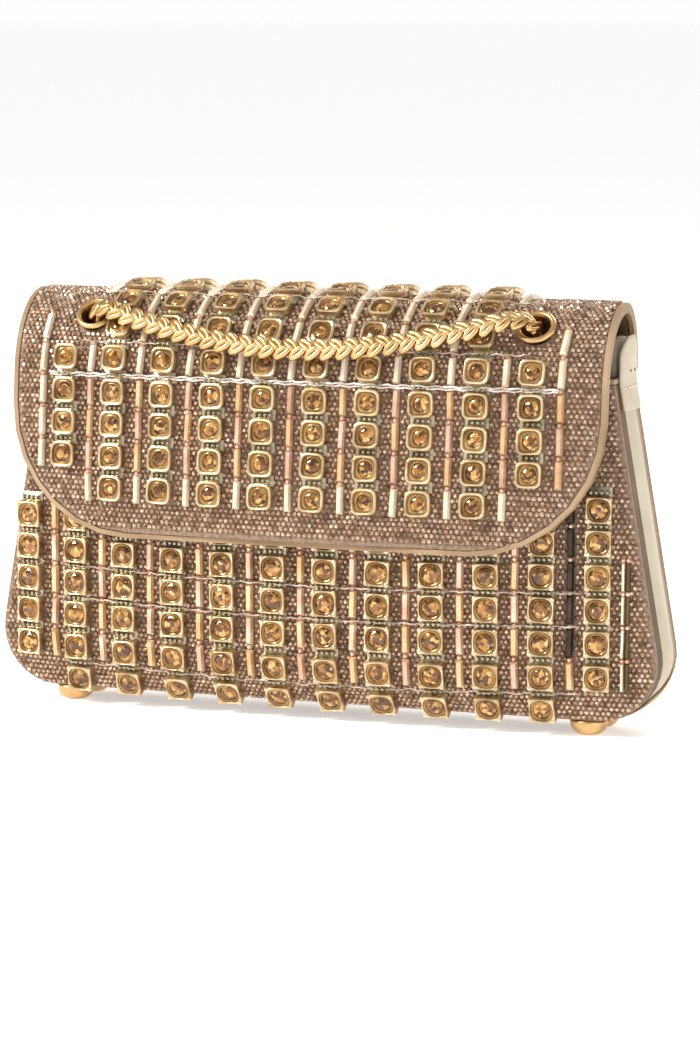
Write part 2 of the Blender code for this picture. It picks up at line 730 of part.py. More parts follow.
def make_eyelet_washer(name, side):
    centre, out = eyelet_frame(side)
    top = -FLAP_THICK - FLAP_LINING_THICK - WASHER_DROP
    inner = EYELET_BARREL + GAP
    profile = [
        (inner, top),
        (inner + 1.5 * MM, top),
        (inner + 1.5 * MM, top - 0.7 * MM),
        (inner, top - 0.7 * MM),
    ]
    return turned(name, profile, centre, out)


def eyelet_cutter(side, name):
    centre, out = eyelet_frame(side)
    radius = EYELET_BARREL + GAP
    profile = [(radius, -9 * MM), (radius, 5 * MM)]
    return solid_of_revolution(name, profile, centre, out, 28)


def make_chain_over_flap():
    """The stretch of chain that shows: out of one eyelet, sagging, and into the other."""
    middle, half = EYELET_SHIFT, EYELET_X
    corners = []
    for u in (-1, -0.985, -0.9, -0.75, -0.5, -0.25, 0, 0.25, 0.5, 0.75, 0.9, 0.985, 1):
        along = CHAIN_LOW + (EYELET_ALONG - CHAIN_LOW) * u * u
        lift = CHAIN_HEIGHT if abs(u) <= 0.9 else 3.6 * MM if abs(u) < 1 else -2.5 * MM
        corners.append(flap_point(middle + half * u, along, lift))
    return curve_tube("chain_over_flap", smooth_route(corners, 45), CHAIN_RADIUS)


def make_chain_drop(name, side):
    """The chain inside the bag, from under an eyelet down to its hank on the floor."""
    centre, out = eyelet_frame(side)
    start = centre - out * (FLAP_THICK + FLAP_LINING_THICK + WASHER_DROP + 2 * MM)
    hank_top = hank_floor() + HANK_HEIGHT
    corners = [
        start,
        start + Vector((0, 2 * MM, -8 * MM)),
        Vector((start.x, -3 * MM, MOUTH_Z - 10 * MM)),
        Vector((side * (HANK_X + 22 * MM), 0, MOUTH_Z * 0.55)),
        Vector((side * (HANK_X + 12 * MM), 0, hank_top + 12 * MM)),
        Vector((side * (HANK_X + 12 * MM), 0, hank_top + 2 * GAP)),
    ]
    return curve_tube(name, smooth_route(corners, 18), CHAIN_RADIUS)


def hank_floor():
    """Height of the hanks' undersides, just above the lining's floor."""
    return BASE_Z + LINING_INSET + LINING_THICK + 1.5 * MM


def make_hank(name, side):
    """The outer shape of the rest of the chain, folded into a hank on the floor."""
    half, radius = HANK_LENGTH / 2, HANK_WIDTH / 2
    rim = []
    for end in (1, -1):
        for k in range(9):
            angle = math.radians(-90 + 22.5 * k) + (0 if end > 0 else math.pi)
            x = end * (half - radius) + radius * math.cos(angle)
            rim.append((x + side * HANK_X, radius * math.sin(angle)))
    low, high = hank_floor(), hank_floor() + HANK_HEIGHT
    count = len(rim)
    points = [Vector((x, y, low)) for x, y in rim] + [Vector((x, y, high)) for x, y in rim]
    faces = [tuple(range(count)), tuple(range(count, 2 * count))]
    for k in range(count):
        after = (k + 1) % count
        faces.append((k, after, after + count, k + count))
    return add_mesh(name, points, faces)


def loop_centre(side):
    """Middle of the leather loop that a chain ring hangs in."""
    inside = outline(MOUTH_Z) - GUSSET_THICK - TAB_THICK - LOOP_RADIUS
    return Vector((side * inside, 3 * MM, MOUTH_Z + BACK_TOP_RISE + TAB_HEIGHT * 0.45))


def make_chain_return(name, side):
    """The chain's last stretch, from the hank up to the ring that holds its end."""
    top = loop_centre(side) - Vector((0, 0, 2 * RING_HALF + RING_WIRE + CHAIN_RADIUS * 1.2))
    hank_top = hank_floor() + HANK_HEIGHT
    corners = [
        Vector((side * (HANK_X + 26 * MM), 0, hank_top + 2 * GAP)),
        Vector((side * (HANK_X + 26 * MM), 0, hank_top + 12 * MM)),
        Vector((top.x - side * 8 * MM, 2 * MM, MOUTH_Z * 0.55)),
        top - Vector((side * 1 * MM, 0, 14 * MM)),
        top,
    ]
    return curve_tube(name, smooth_route(corners, 16), CHAIN_RADIUS)


def make_anchor_tab(name, side):
    """A leather tab on a gusset's top, with a loop on its inside for the chain ring."""
    centre = loop_centre(side)
    face_x = outline(MOUTH_Z) - GUSSET_THICK
    low = MOUTH_Z + BACK_TOP_RISE + GAP
    half = TAB_DEPTH / 2
    rim = [(-half, 0), (half, 0), (half, TAB_HEIGHT * 0.6)]
    for k in range(1, 8):
        angle = math.pi * k / 8
        rim.append((half * math.cos(angle), TAB_HEIGHT * (0.6 + 0.4 * math.sin(angle))))
    rim.append((-half, TAB_HEIGHT * 0.6))
    count = len(rim)
    points = [Vector((side * face_x, centre.y + y, low + z)) for y, z in rim]
    points += [Vector((side * (face_x - TAB_THICK), centre.y + y, low + z)) for y, z in rim]
    faces = [tuple(range(count)), tuple(range(count, 2 * count))]
    for k in range(count):
        after = (k + 1) % count
        faces.append((k, after, after + count, k + count))
    tab = add_mesh(name, points, faces)
    along = Vector((0, 1, 0))
    barrel = [(LOOP_RADIUS + 0.4 * MM, -LOOP_WIDTH / 2), (LOOP_RADIUS + 0.4 * MM, LOOP_WIDTH / 2)]
    cut(tab, solid_of_revolution(name + "_loop", barrel, centre, along, 20), "UNION")
    bore = [(LOOP_BORE, -LOOP_WIDTH), (LOOP_BORE, LOOP_WIDTH)]
    cut(tab, solid_of_revolution(name + "_bore", bore, centre, along, 20))
    return tab


def make_chain_ring(name, side):
    """A D-shaped wire ring: its straight side lies in the tab's loop."""
    centre = loop_centre(side)
    route = [centre + Vector((0, RING_HALF * (k / 3 - 1), 0)) for k in range(7)]
    for k in range(1, 16):
        angle = math.pi * k / 16
        drop = 2 * RING_HALF * math.sin(angle) ** 0.8
        route.append(centre + Vector((0, RING_HALF * math.cos(angle), -drop)))
    return curve_tube(name, route, RING_WIRE, closed=True)


def make_magnet_socket():
    y = -(SEAM_HALF_DEPTH + swell(MAGNET_RADIUS, MAGNET_Z)) - 2 * GAP
    centre = Vector((FLAP_SHIFT, y, MAGNET_Z))
    profile = [(MAGNET_RADIUS, 0), (MAGNET_RADIUS, 0.8 * MAGNET_THICK)]
    profile.append((MAGNET_RADIUS * 0.85, MAGNET_THICK))
    return solid_of_revolution("magnet_socket", profile, centre, Vector((0, -1, 0)), 24)


def make_magnet_stud():
    s = (MAGNET_Z - FLAP_BOTTOM_Z) / math.cos(FLAP_LEAN)
    out = flap_normal(s)
    centre = flap_point(0, s, -FLAP_THICK - FLAP_LINING_THICK - 2 * GAP)
    profile = [(MAGNET_RADIUS, 0), (MAGNET_RADIUS, 0.5 * MAGNET_THICK)]
    profile.append((MAGNET_RADIUS * 0.85, 0.7 * MAGNET_THICK))
    return solid_of_revolution("magnet_stud", profile, centre, -out, 24)


# ---------------------------------------------------------------- assembly


def make_body():
    make_panel("front_panel", -1, MOUTH_Z)
    make_panel("back_panel", 1, MOUTH_Z + BACK_TOP_RISE)
    make_band("seam_band_front", BAND_FRONT_Y, BAND_FRONT_Y + BAND_FRONT_WIDTH)
    make_band("seam_band_back", BAND_BACK_Y - BAND_BACK_WIDTH, BAND_BACK_Y)
    make_base()
    make_lining()
    make_pocket()
    make_mouth_binding()
    make_magnet_socket()
    for number in range(1, BODY_COLUMNS + 1):
        make_body_column(number)
    make_back_field()
    for side, word in ((-1, "left"), (1, "right")):
        make_gusset(f"gusset_{word}", side)
        make_anchor_tab(f"anchor_tab_{word}", side)
        make_chain_ring(f"chain_ring_{word}", side)
        make_chain_drop(f"chain_drop_{word}", side)
        make_hank(f"chain_hank_{word}", side)
        make_chain_return(f"chain_return_{word}", side)
        for y, end in ((-FOOT_Y, "front"), (FOOT_Y, "back")):
            make_foot(f"foot_{end}_{word}", side * FOOT_X, y)


def make_flap():
    shell = flap_sheet("flap_shell", 0, -FLAP_THICK, 0)
    lining_top = -FLAP_THICK - GAP
    lining = flap_sheet("flap_lining", lining_top, lining_top - FLAP_LINING_THICK, 1 * MM)
    make_flap_binding()
    make_magnet_stud()
    make_chain_over_flap()
    for number in range(1, FLAP_COLUMNS + 1):
        make_flap_column(number)
    for side, word in ((-1, "left"), (1, "right")):
        cut(shell, eyelet_cutter(side, f"shell_hole_{word}"))
        cut(lining, eyelet_cutter(side, f"lining_hole_{word}"))
        make_eyelet(f"eyelet_{word}", side)
        make_eyelet_washer(f"eyelet_washer_{word}", side)


def centre_depth():
    """Shift that puts the middle of the bag's whole depth on y = 0."""
    front = flap_point(0, FLAP_FIRST_ROW - SETTING / 2, SETTING_HEIGHT).y
    back = FLAP_BACK_Y + SETTING_HEIGHT
    return -(front + back) / 2


for leftover in list(bpy.data.objects):
    bpy.data.objects.remove(leftover)
make_body()
make_flap()
for piece in bpy.data.objects:
    piece.matrix_world = Matrix.Translation((0, centre_depth(), 0)) @ piece.matrix_world
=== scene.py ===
"""Looks of the evening bag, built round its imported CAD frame. Metres, +Z up, front toward -Y."""
import math

import bpy
import numpy as np
from mathutils import Matrix, Vector


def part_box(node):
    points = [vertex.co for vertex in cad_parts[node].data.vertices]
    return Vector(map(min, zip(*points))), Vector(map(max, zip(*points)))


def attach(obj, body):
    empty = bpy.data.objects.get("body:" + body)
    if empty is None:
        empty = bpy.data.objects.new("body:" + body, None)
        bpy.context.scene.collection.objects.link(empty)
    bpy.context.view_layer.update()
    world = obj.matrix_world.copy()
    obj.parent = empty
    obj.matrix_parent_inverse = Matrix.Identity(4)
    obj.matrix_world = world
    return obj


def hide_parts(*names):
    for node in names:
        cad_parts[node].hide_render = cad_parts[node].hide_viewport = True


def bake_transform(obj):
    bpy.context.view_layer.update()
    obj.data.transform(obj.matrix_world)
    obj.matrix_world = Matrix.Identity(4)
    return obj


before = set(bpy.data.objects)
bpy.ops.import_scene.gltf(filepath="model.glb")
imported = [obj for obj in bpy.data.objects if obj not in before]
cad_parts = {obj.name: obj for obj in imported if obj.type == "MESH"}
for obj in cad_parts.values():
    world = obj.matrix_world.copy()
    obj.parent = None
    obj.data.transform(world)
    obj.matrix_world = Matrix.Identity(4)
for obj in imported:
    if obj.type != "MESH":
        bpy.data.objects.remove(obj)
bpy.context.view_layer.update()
MM = 0.001
RANDOM = np.random.default_rng(7)

# The bag's own dimensions, the same as in its CAD
DEPTH_SHIFT = 4.055 * MM  # the CAD centres the bag's depth on y = 0
BASE_Z = 5.5 * MM
MOUTH_Z = 118 * MM
BASE_HALF_WIDTH = 122.5 * MM
SIDE_SLOPE = 0.172
CORNER_RADIUS = 20 * MM
SEAM_HALF_DEPTH = 13 * MM
BULGE = 8.3 * MM
BULGE_HEIGHT = 20 * MM
GUSSET_BOW = 1.2 * MM
FLAP_SHIFT = -3.5 * MM
FLAP_HALF_WIDTH = 104.5 * MM
FLAP_BOTTOM_Z = 63.3 * MM
FLAP_CORNER = 43 * MM
FLAP_LEAN = math.radians(5.4)
SHOULDER_Z = 116.6 * MM
SHOULDER_RADIUS = 30 * MM
BACK_RADIUS = 19 * MM
FLAP_BACK_Y = 22.4 * MM
FLAP_END_Z = 120.9 * MM
FLAP_BOW = 0.51
SETTING = 8.8 * MM
SETTING_HEIGHT = 4.3 * MM
FLAP_PITCH = 18.6 * MM
FLAP_ROW_PITCH = 11.0 * MM
FLAP_FIRST_ROW = 14.8 * MM
FLAP_PATTERN_SHIFT = -1.4 * MM
FLAP_COLUMNS = 10
FLAP_ROWS = 11
BODY_PITCH = 18.7 * MM
BODY_ROW_PITCH = 11.2 * MM
BODY_FIRST_ROW = 4.7 * MM
BODY_PATTERN_SHIFT = -3.6 * MM
BODY_COLUMNS = 12
BODY_ROWS = 6
BACK_ROWS = 9
EYELET_X = 79.2 * MM
EYELET_SHIFT = 1.3 * MM
EYELET_ALONG = FLAP_FIRST_ROW + 5.52 * FLAP_ROW_PITCH
EYELET_RADIUS = 7.0 * MM
EYELET_BORE = 4.9 * MM
CHAIN_LOW = FLAP_FIRST_ROW + 4.35 * FLAP_ROW_PITCH
CHAIN_HEIGHT = 7.6 * MM
HANK_LENGTH = 78 * MM
HANK_X = 50 * MM

# Sizes of the looks alone
STONE = 1.9 * MM  # spacing of the small rhinestones along a row
STONE_ROW = 0.9  # spacing of the rows, as a share of STONE
BAR_HEIGHT = 2.3 * MM
BAR_SHARE = 0.44  # half a bar's length, as a share of the row pitch
THREAD_RADIUS = 0.34 * MM
SETTING_TURN = 0.022  # how unevenly the settings, bars and stones stand, in radians
BAR_TURN = 0.02
STONE_TIP = 0.12
LINK_SPACING = 2.7 * MM
LINK_SHIFT = 1.25 * MM
LINK_TURN = math.radians(36)
LINK_ROLL = math.radians(14)
CHAIN_EDGE = 3 * MM  # from the side of a chain's box to its middle line
# Depth and height up the outside of the hinge cloth, and its thickness, in millimetres
CLOTH_LINE = ((21.0, 116.5), (21.3, 118.5), (21.6, 120.2), (21.7, 121.8), (21.5, 124))
CLOTH_THICKNESS = 0.8
# Shape of the cups and the stones in them: the flap's are plain, the body's have claws
PLAIN_CUP = {"power": 5, "mouth": 3.55 * MM, "mouth_power": 4, "stone": 2.65 * MM, "depth": 0.9 * MM}
CLAW_CUP = {"power": 9, "mouth": 3.85 * MM, "mouth_power": 2.8, "stone": 3.2 * MM, "depth": 0.6 * MM}

# ------------------------ materials


def new_material(name, colour, rough, metal=0.0):
    """A plain surface to build on, and its node tree's parts."""
    material = bpy.data.materials.new(name)
    material.use_nodes = True
    nodes = material.node_tree.nodes
    shader = nodes["Principled BSDF"]
    shader.inputs["Base Color"].default_value = (*colour, 1)
    shader.inputs["Roughness"].default_value = rough
    shader.inputs["Metallic"].default_value = metal
    return material, nodes, material.node_tree.links, shader


def speckle(nodes, links, scale, detail=2.0):
    """Noise in the object's own metres."""
    place = nodes.new("ShaderNodeTexCoord")
    noise = nodes.new("ShaderNodeTexNoise")
    noise.inputs["Scale"].default_value = scale
    noise.inputs["Detail"].default_value = detail
    links.new(place.outputs["Object"], noise.inputs["Vector"])
    return noise


def colour_steps(nodes, links, source, stops):
    """Colours chosen by a value between 0 and 1."""
    ramp = nodes.new("ShaderNodeValToRGB")
    elements = ramp.color_ramp.elements
    elements[0].position, elements[0].color = stops[0][0], (*stops[0][1], 1)
    elements[1].position, elements[1].color = stops[-1][0], (*stops[-1][1], 1)
    for position, colour in stops[1:-1]:
        elements.new(position).color = (*colour, 1)
    links.new(source, ramp.inputs["Fac"])
    return ramp


def bump(nodes, links, shader, source, strength, distance):
    raised = nodes.new("ShaderNodeBump")
    raised.inputs["Strength"].default_value = strength
    raised.inputs["Distance"].default_value = distance
    links.new(source, raised.inputs["Height"])
    links.new(raised.outputs["Normal"], shader.inputs["Normal"])


def varied(name, stops, rough, metal, scale, grain=None, coat=0.0):
    """A material whose colour wanders between stops, with a grain of (scale, strength, distance)."""
    material, nodes, links, shader = new_material(name, stops[0][1], rough, metal)
    noise = speckle(nodes, links, scale)
    ramp = colour_steps(nodes, links, noise.outputs["Fac"], stops)
    links.new(ramp.outputs["Color"], shader.inputs["Base Color"])
    shader.inputs["Coat Weight"].default_value = coat
    if grain:
        fine = speckle(nodes, links, grain[0], 4.0)
        bump(nodes, links, shader, fine.outputs["Fac"], grain[1], grain[2])
    return material


def topaz_material():
    """Honey-coloured glass; the cells of a Voronoi pattern paint its facets dark and bright, as
    painted shade and highlights.
    """
    material, nodes, links, shader = new_material("topaz", (0.5, 0.25, 0.07), 0.1, 0.4)
    place = nodes.new("ShaderNodeTexCoord")
    cells = nodes.new("ShaderNodeTexVoronoi")
    cells.inputs["Scale"].default_value = 720
    links.new(place.outputs["Object"], cells.inputs["Vector"])
    parts = nodes.new("ShaderNodeSeparateColor")
    links.new(cells.outputs["Color"], parts.inputs["Color"])
    # Near-black to bright honey: the stone's own honey colour, with painted shade and highlights on
    # its facets.
    stops = [
        (0.0, (0.05, 0.018, 0.004)),
        (0.4, (0.17, 0.066, 0.011)),
        (0.75, (0.45, 0.20, 0.035)),
        (1.0, (0.82, 0.50, 0.17)),
    ]
    ramp = colour_steps(nodes, links, parts.outputs["Red"], stops)
    links.new(ramp.outputs["Color"], shader.inputs["Base Color"])
    bump(nodes, links, shader, parts.outputs["Green"], 0.6, 0.0004)
    shader.inputs["Coat Weight"].default_value = 0.8
    return material


def bar_material(name, low, high, metal=0.5):
    return varied(name, [(0.35, low), (0.65, high)], 0.22, metal, 120, grain=(700, 0.1, 0.0002))


def leather_material(name, low, high, rough=0.5):
    leather = varied(name, [(0.35, low), (0.65, high)], rough, 0.0, 45, grain=(1500, 0.35, 0.0003))
    leather.node_tree.nodes["Principled BSDF"].inputs["Specular IOR Level"].default_value = 0.25
    return leather


def satin_material():
    material, nodes, links, shader = new_material("satin", (0.14, 0.085, 0.035), 0.42)
    place = nodes.new("ShaderNodeTexCoord")
    weave = nodes.new("ShaderNodeTexWave")
    weave.inputs["Scale"].default_value = 900
    weave.inputs["Distortion"].default_value = 0.6
    weave.bands_direction = "DIAGONAL"
    links.new(place.outputs["Object"], weave.inputs["Vector"])
    stops = [(0.2, (0.09, 0.052, 0.02)), (0.8, (0.18, 0.11, 0.046))]
    ramp = colour_steps(nodes, links, weave.outputs["Fac"], stops)
    links.new(ramp.outputs["Color"], shader.inputs["Base Color"])
    shader.inputs["Sheen Weight"].default_value = 0.1
    bump(nodes, links, shader, weave.outputs["Fac"], 0.3, 0.0002)
    return material


STONE_STOPS = [
    (0.30, (0.19, 0.12, 0.075)),
    (0.45, (0.40, 0.26, 0.175)),
    (0.56, (0.57, 0.395, 0.285)),
    (0.70, (0.81, 0.65, 0.52)),
]
CLOTH_STOPS = [(0.35, (0.19, 0.125, 0.08)), (0.65, (0.32, 0.22, 0.155))]
SETTING_STOPS = [(0.35, (0.50, 0.35, 0.18)), (0.52, (0.70, 0.53, 0.32)), (0.7, (0.84, 0.69, 0.48))]
THREAD_STOPS = [(0.35, (0.36, 0.28, 0.22)), (0.65, (0.60, 0.50, 0.43))]
GOLD_STOPS = [(0.3, (0.55, 0.345, 0.145)), (0.7, (0.75, 0.52, 0.26))]
RHINESTONES = varied("rhinestones", STONE_STOPS, 0.22, 0.6, 420, coat=0.3)
CLOTH = varied("stone_cloth", CLOTH_STOPS, 0.6, 0.1, 900, (2400, 0.5, 0.0003))
SETTING_GOLD = varied("setting_gold", SETTING_STOPS, 0.3, 0.85, 160, (900, 0.15, 0.0002))
TOPAZ = topaz_material()
PALE_BAR = bar_material("pale_bars", (0.78, 0.64, 0.46), (0.93, 0.82, 0.66), 0.3)
WARM_BAR = bar_material("warm_bars", (0.66, 0.40, 0.20), (0.88, 0.62, 0.37))
PINK_BAR = bar_material("pink_bars", (0.62, 0.38, 0.26), (0.86, 0.62, 0.48))
DARK_BAR = bar_material("dark_bars", (0.02, 0.014, 0.01), (0.06, 0.04, 0.025))
OLIVE = bar_material("olive_metal", (0.30, 0.26, 0.17), (0.52, 0.47, 0.35))
BRONZE = bar_material("bronze_wells", (0.16, 0.085, 0.028), (0.40, 0.25, 0.10))
THREAD = varied("wire_thread", THREAD_STOPS, 0.35, 0.5, 500, (3000, 0.5, 0.0002))
BRIGHT_THREAD = bar_material("bright_thread", (0.68, 0.58, 0.53), (0.90, 0.83, 0.79))
GOLD = varied("gold_metal", GOLD_STOPS, 0.36, 1.0, 60, (1200, 0.08, 0.0002))
CREAM = leather_material("cream_leather", (0.54, 0.47, 0.35), (0.64, 0.565, 0.44))
TAN = leather_material("tan_leather", (0.30, 0.20, 0.115), (0.41, 0.285, 0.175))
# Brown of the leather parts, also used as painted shade on the front seam band and the shade bars.
BROWN = leather_material("brown_leather", (0.10, 0.055, 0.018), (0.17, 0.098, 0.036))
# Brown-gold of the sheets at the gusset's lower corners: painted shade where the gusset turns under
# the base.
CORNER_SHADE = leather_material("corner_painted_shade", (0.27, 0.155, 0.05), (0.42, 0.26, 0.105), 0.3)
SATIN = satin_material()

# ------------------------ surfaces of the bag

FLAP_FRONT = (SHOULDER_Z - FLAP_BOTTOM_Z) / math.cos(FLAP_LEAN)
SHOULDER_ARC = SHOULDER_RADIUS * (math.pi / 2 - FLAP_LEAN)
BACK_ARC = BACK_RADIUS * math.pi / 2
CROWN_Z = SHOULDER_Z - SHOULDER_RADIUS * math.sin(FLAP_LEAN) + SHOULDER_RADIUS
FLAP_LENGTH = FLAP_FRONT + (SHOULDER_ARC + BACK_ARC) + CROWN_Z - BACK_RADIUS - FLAP_END_Z
STATIONS = {}


def outline(z):
    """Half the bag's width at height z."""
    tilt = math.atan(SIDE_SLOPE)
    corner_x = BASE_HALF_WIDTH - SIDE_SLOPE * CORNER_RADIUS - CORNER_RADIUS / math.cos(tilt)
    corner_z = BASE_Z + CORNER_RADIUS
    if z >= corner_z + CORNER_RADIUS * math.sin(tilt):
        return BASE_HALF_WIDTH - SIDE_SLOPE * (z - BASE_Z)
    drop = min(corner_z - z, CORNER_RADIUS)
    return corner_x + math.sqrt(CORNER_RADIUS**2 - drop**2)


def swell(x, z):
    """How far a panel stands out beyond its seam."""
    across = 1 - min(abs(x) / outline(z), 1) ** 2
    height = min((z - BASE_Z) / BULGE_HEIGHT, 1)
    return BULGE * across * (1 - (1 - height) ** 2)


def panel_frame(x, z, side):
    """Point, direction across, direction up the panel and outward direction."""
    step = 0.2 * MM
    low = max(z - step, BASE_Z)
    up = Vector((0, side * (swell(x, z + step) - swell(x, low)), z + step - low)).normalized()
    slope = (swell(x + step, z) - swell(x - step, z)) / (2 * step)
    across = Vector((1, side * slope, 0)).normalized()
    out = across.cross(up).normalized()
    if out.y * side < 0:
        out = -out
    point = Vector((x, side * (SEAM_HALF_DEPTH + swell(x, z)) + DEPTH_SHIFT, z))
    return point, across, up, out


def panel_stations(x):
    """Heights on a panel for distances up it, as two matching lists."""
    zs = np.arange(BASE_Z, MOUTH_Z + 3 * MM, 0.5 * MM)
    ys = np.array([swell(x, z) for z in zs])
    steps = np.hypot(np.diff(zs), np.diff(ys))
    return np.concatenate([[0], np.cumsum(steps)]), zs


def stations_near(x):
    """Stations of a panel near x, worked out once for every whole millimetre."""
    key = round(x / MM)
    if key not in STATIONS:
        STATIONS[key] = panel_stations(x)
    return STATIONS[key]


def panel_height(x, s):
    """Height of the point at distance s up a panel."""
    walked, heights = stations_near(x)
    return float(np.interp(s, walked, heights))


def flap_frame(x, s):
    """Point on the flap's outside and its directions, s measured up from its lower edge."""
    middle_y = FLAP_BACK_Y - BACK_RADIUS
    if s <= FLAP_FRONT:
        left = FLAP_FRONT - s
        y = middle_y - SHOULDER_RADIUS * math.cos(FLAP_LEAN) - left * math.sin(FLAP_LEAN)
        z = SHOULDER_Z - left * math.cos(FLAP_LEAN)
        angle = math.pi - FLAP_LEAN
    elif s <= FLAP_FRONT + SHOULDER_ARC:
        angle = math.pi - FLAP_LEAN - (s - FLAP_FRONT) / SHOULDER_RADIUS
        y = middle_y + SHOULDER_RADIUS * math.cos(angle)
        z = CROWN_Z - SHOULDER_RADIUS + SHOULDER_RADIUS * math.sin(angle)
    elif s <= FLAP_FRONT + SHOULDER_ARC + BACK_ARC:
        angle = math.pi / 2 - (s - FLAP_FRONT - SHOULDER_ARC) / BACK_RADIUS
        y = middle_y + BACK_RADIUS * math.cos(angle)
        z = CROWN_Z - BACK_RADIUS + BACK_RADIUS * math.sin(angle)
    else:
        angle = 0.0
        y = FLAP_BACK_Y
        z = CROWN_Z - BACK_RADIUS - (s - FLAP_FRONT - SHOULDER_ARC - BACK_ARC)
    out = Vector((0, math.cos(angle), math.sin(angle)))
    up = Vector((0, math.sin(angle), -math.cos(angle)))
    y -= out.y * FLAP_BOW * x * x
    across = Vector((1, -2 * out.y * FLAP_BOW * x, 0)).normalized()
    return Vector((x + FLAP_SHIFT, y + DEPTH_SHIFT, z)), across, up, out


def flap_half_width(s):
    if s >= FLAP_CORNER:
        return FLAP_HALF_WIDTH
    return FLAP_HALF_WIDTH - FLAP_CORNER + math.sqrt(FLAP_CORNER**2 - (FLAP_CORNER - s) ** 2)


# ------------------------ mesh building


def new_piece(name, points, faces, material, body, smooth=False):
    """A mesh that moves with a body, or one still free if body is None."""
    mesh = bpy.data.meshes.new(name)
    mesh.from_pydata([tuple(p) for p in points], [], [tuple(int(i) for i in f) for f in faces])
    mesh.validate()
    mesh.materials.append(material)
    mesh.polygons.foreach_set("use_smooth", [smooth] * len(mesh.polygons))
    piece = bpy.data.objects.new(name, mesh)
    bpy.context.collection.objects.link(piece)
    if body:
        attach(piece, body)
    return piece


def stamped(name, template, frames, material, body, smooth=False):
    """One mesh that repeats a template at each frame of (point, across, up, out, scale)."""
    corners, faces = template
    corners = np.array(corners, float)
    points, all_faces = [], []
    for number, (point, across, up, out, scale) in enumerate(frames):
        turn = np.array([across, up, out], float)
        points.append(corners * scale @ turn + np.array(point, float))
        shift = number * len(corners)
        order = -1 if np.linalg.det(turn) < 0 else 1
        all_faces += [[i + shift for i in face[::order]] for face in faces]
    return new_piece(name, np.concatenate(points), all_faces, material, body, smooth)


def rings(levels, close_bottom=True, close_top=True):
    """A template from rings of points, each ring a list of the same length."""
    size = len(levels[0])
    points = [p for ring in levels for p in ring]
    faces = []
    for i in range(len(levels) - 1):
        for k in range(size):
            after = (k + 1) % size
            faces.append((i * size + k, i * size + after, (i + 1) * size + after, (i + 1) * size + k))
    if close_bottom:
        faces.append(tuple(range(size - 1, -1, -1)))
    if close_top:
        faces.append(tuple(range((len(levels) - 1) * size, len(levels) * size)))
    return points, faces


def circle(radius, height, sides, turn=0.0):
    angles = [2 * math.pi * (k + turn) / sides for k in range(sides)]
    return [(radius * math.cos(a), radius * math.sin(a), height) for a in angles]


def rounded_square(half, height, sides, power):
    """A ring between a square and a circle: the higher the power, the squarer."""
    ring = []
    for k in range(sides):
        a = 2 * math.pi * (k + 0.5) / sides
        c, s = math.cos(a), math.sin(a)
        reach = half / (abs(c) ** power + abs(s) ** power) ** (1 / power)
        ring.append((reach * c, reach * s, height))
    return ring


def rhinestone_template():
    """A small stone one unit wide and half a unit high."""
    return rings([circle(0.45, 0.0, 6), circle(0.5, 0.22, 6), circle(0.26, 0.5, 6)])


def tall_template(height):
    """A small stone drawn out to a bead, its height a multiple of the stone's."""
    corners, faces = rhinestone_template()
    return [(x, y, z * height) for x, y, z in corners], faces


def cup_template(power, mouth, mouth_power):
    """A square metal cup with a rounded rim and a hollow for the stone."""
    half = SETTING / 2
    sides = 24
    top = SETTING_HEIGHT
    levels = [
        rounded_square(half * 0.86, 0.3 * MM, sides, power),
        rounded_square(half * 0.88, 2.2 * MM, sides, power),
        rounded_square(half * 0.97, 2.8 * MM, sides, power),
        rounded_square(half, top - 0.45 * MM, sides, power),
        rounded_square(half * 0.975, top - 0.12 * MM, sides, power),
        rounded_square((half + mouth) * 0.5, top, sides, power),
        rounded_square(mouth * 1.03, top - 0.12 * MM, sides, mouth_power),
        rounded_square(mouth, top - 0.4 * MM, sides, mouth_power),
        rounded_square(mouth, 1.2 * MM, sides, mouth_power),
    ]
    return rings(levels)


def well_template(mouth, mouth_power, stone, depth):
    """The darker seat inside a cup, sloping in to the stone."""
    sides = 24
    top = SETTING_HEIGHT - depth
    levels = [
        rounded_square(mouth + 0.05 * MM, 1.1 * MM, sides, mouth_power),
        rounded_square(mouth + 0.05 * MM, top, sides, mouth_power),
        circle(stone + 0.35 * MM, top + 0.25 * MM, sides, 0.5),
        circle(stone, top + 0.05 * MM, sides, 0.5),
        circle(stone * 0.8, top - 1.2 * MM, sides, 0.5),
    ]
    return rings(levels)


def claw_template():
    """Four small claws at the corners of a setting."""
    points, faces = [], []
    reach = SETTING / 2 - 0.75 * MM
    for x, y in ((reach, reach), (-reach, reach), (-reach, -reach), (reach, -reach)):
        levels = [
            circle(0.9 * MM, 1.0 * MM, 8),
            circle(0.95 * MM, SETTING_HEIGHT - 0.3 * MM, 8),
            circle(0.8 * MM, SETTING_HEIGHT + 0.1 * MM, 8),
            circle(0.35 * MM, SETTING_HEIGHT + 0.3 * MM, 8),
        ]
        corners, sides = rings(levels)
        shift = len(points)
        points += [(x + px, y + py, pz) for px, py, pz in corners]
        faces += [tuple(i + shift for i in face) for face in sides]
    return points, faces


def gem_template(radius, top):
    """A round faceted stone: girdle, crown and table."""
    size = 10
    levels = [
        circle(radius * 0.6, top - 1.6 * MM, size),
        circle(radius, top - 0.7 * MM, size, 0.5),
        circle(radius, top - 0.5 * MM, size),
        circle(radius * 0.78, top - 0.05 * MM, size, 0.5),
        circle(radius * 0.5, top + 0.2 * MM, size),
    ]
    points = [p for ring in levels for p in ring]
    faces = [tuple(range(size - 1, -1, -1)), tuple(range(4 * size, 5 * size))]
    for i in range(4):
        for k in range(size):
            after = (k + 1) % size
            a, b = i * size + k, i * size + after
            c, d = (i + 1) * size + after, (i + 1) * size + k
            if i in (0, 2):
                faces += [(a, b, d), (b, c, d)]
            else:
                faces += [(a, b, c), (a, c, d)]
    return points, faces


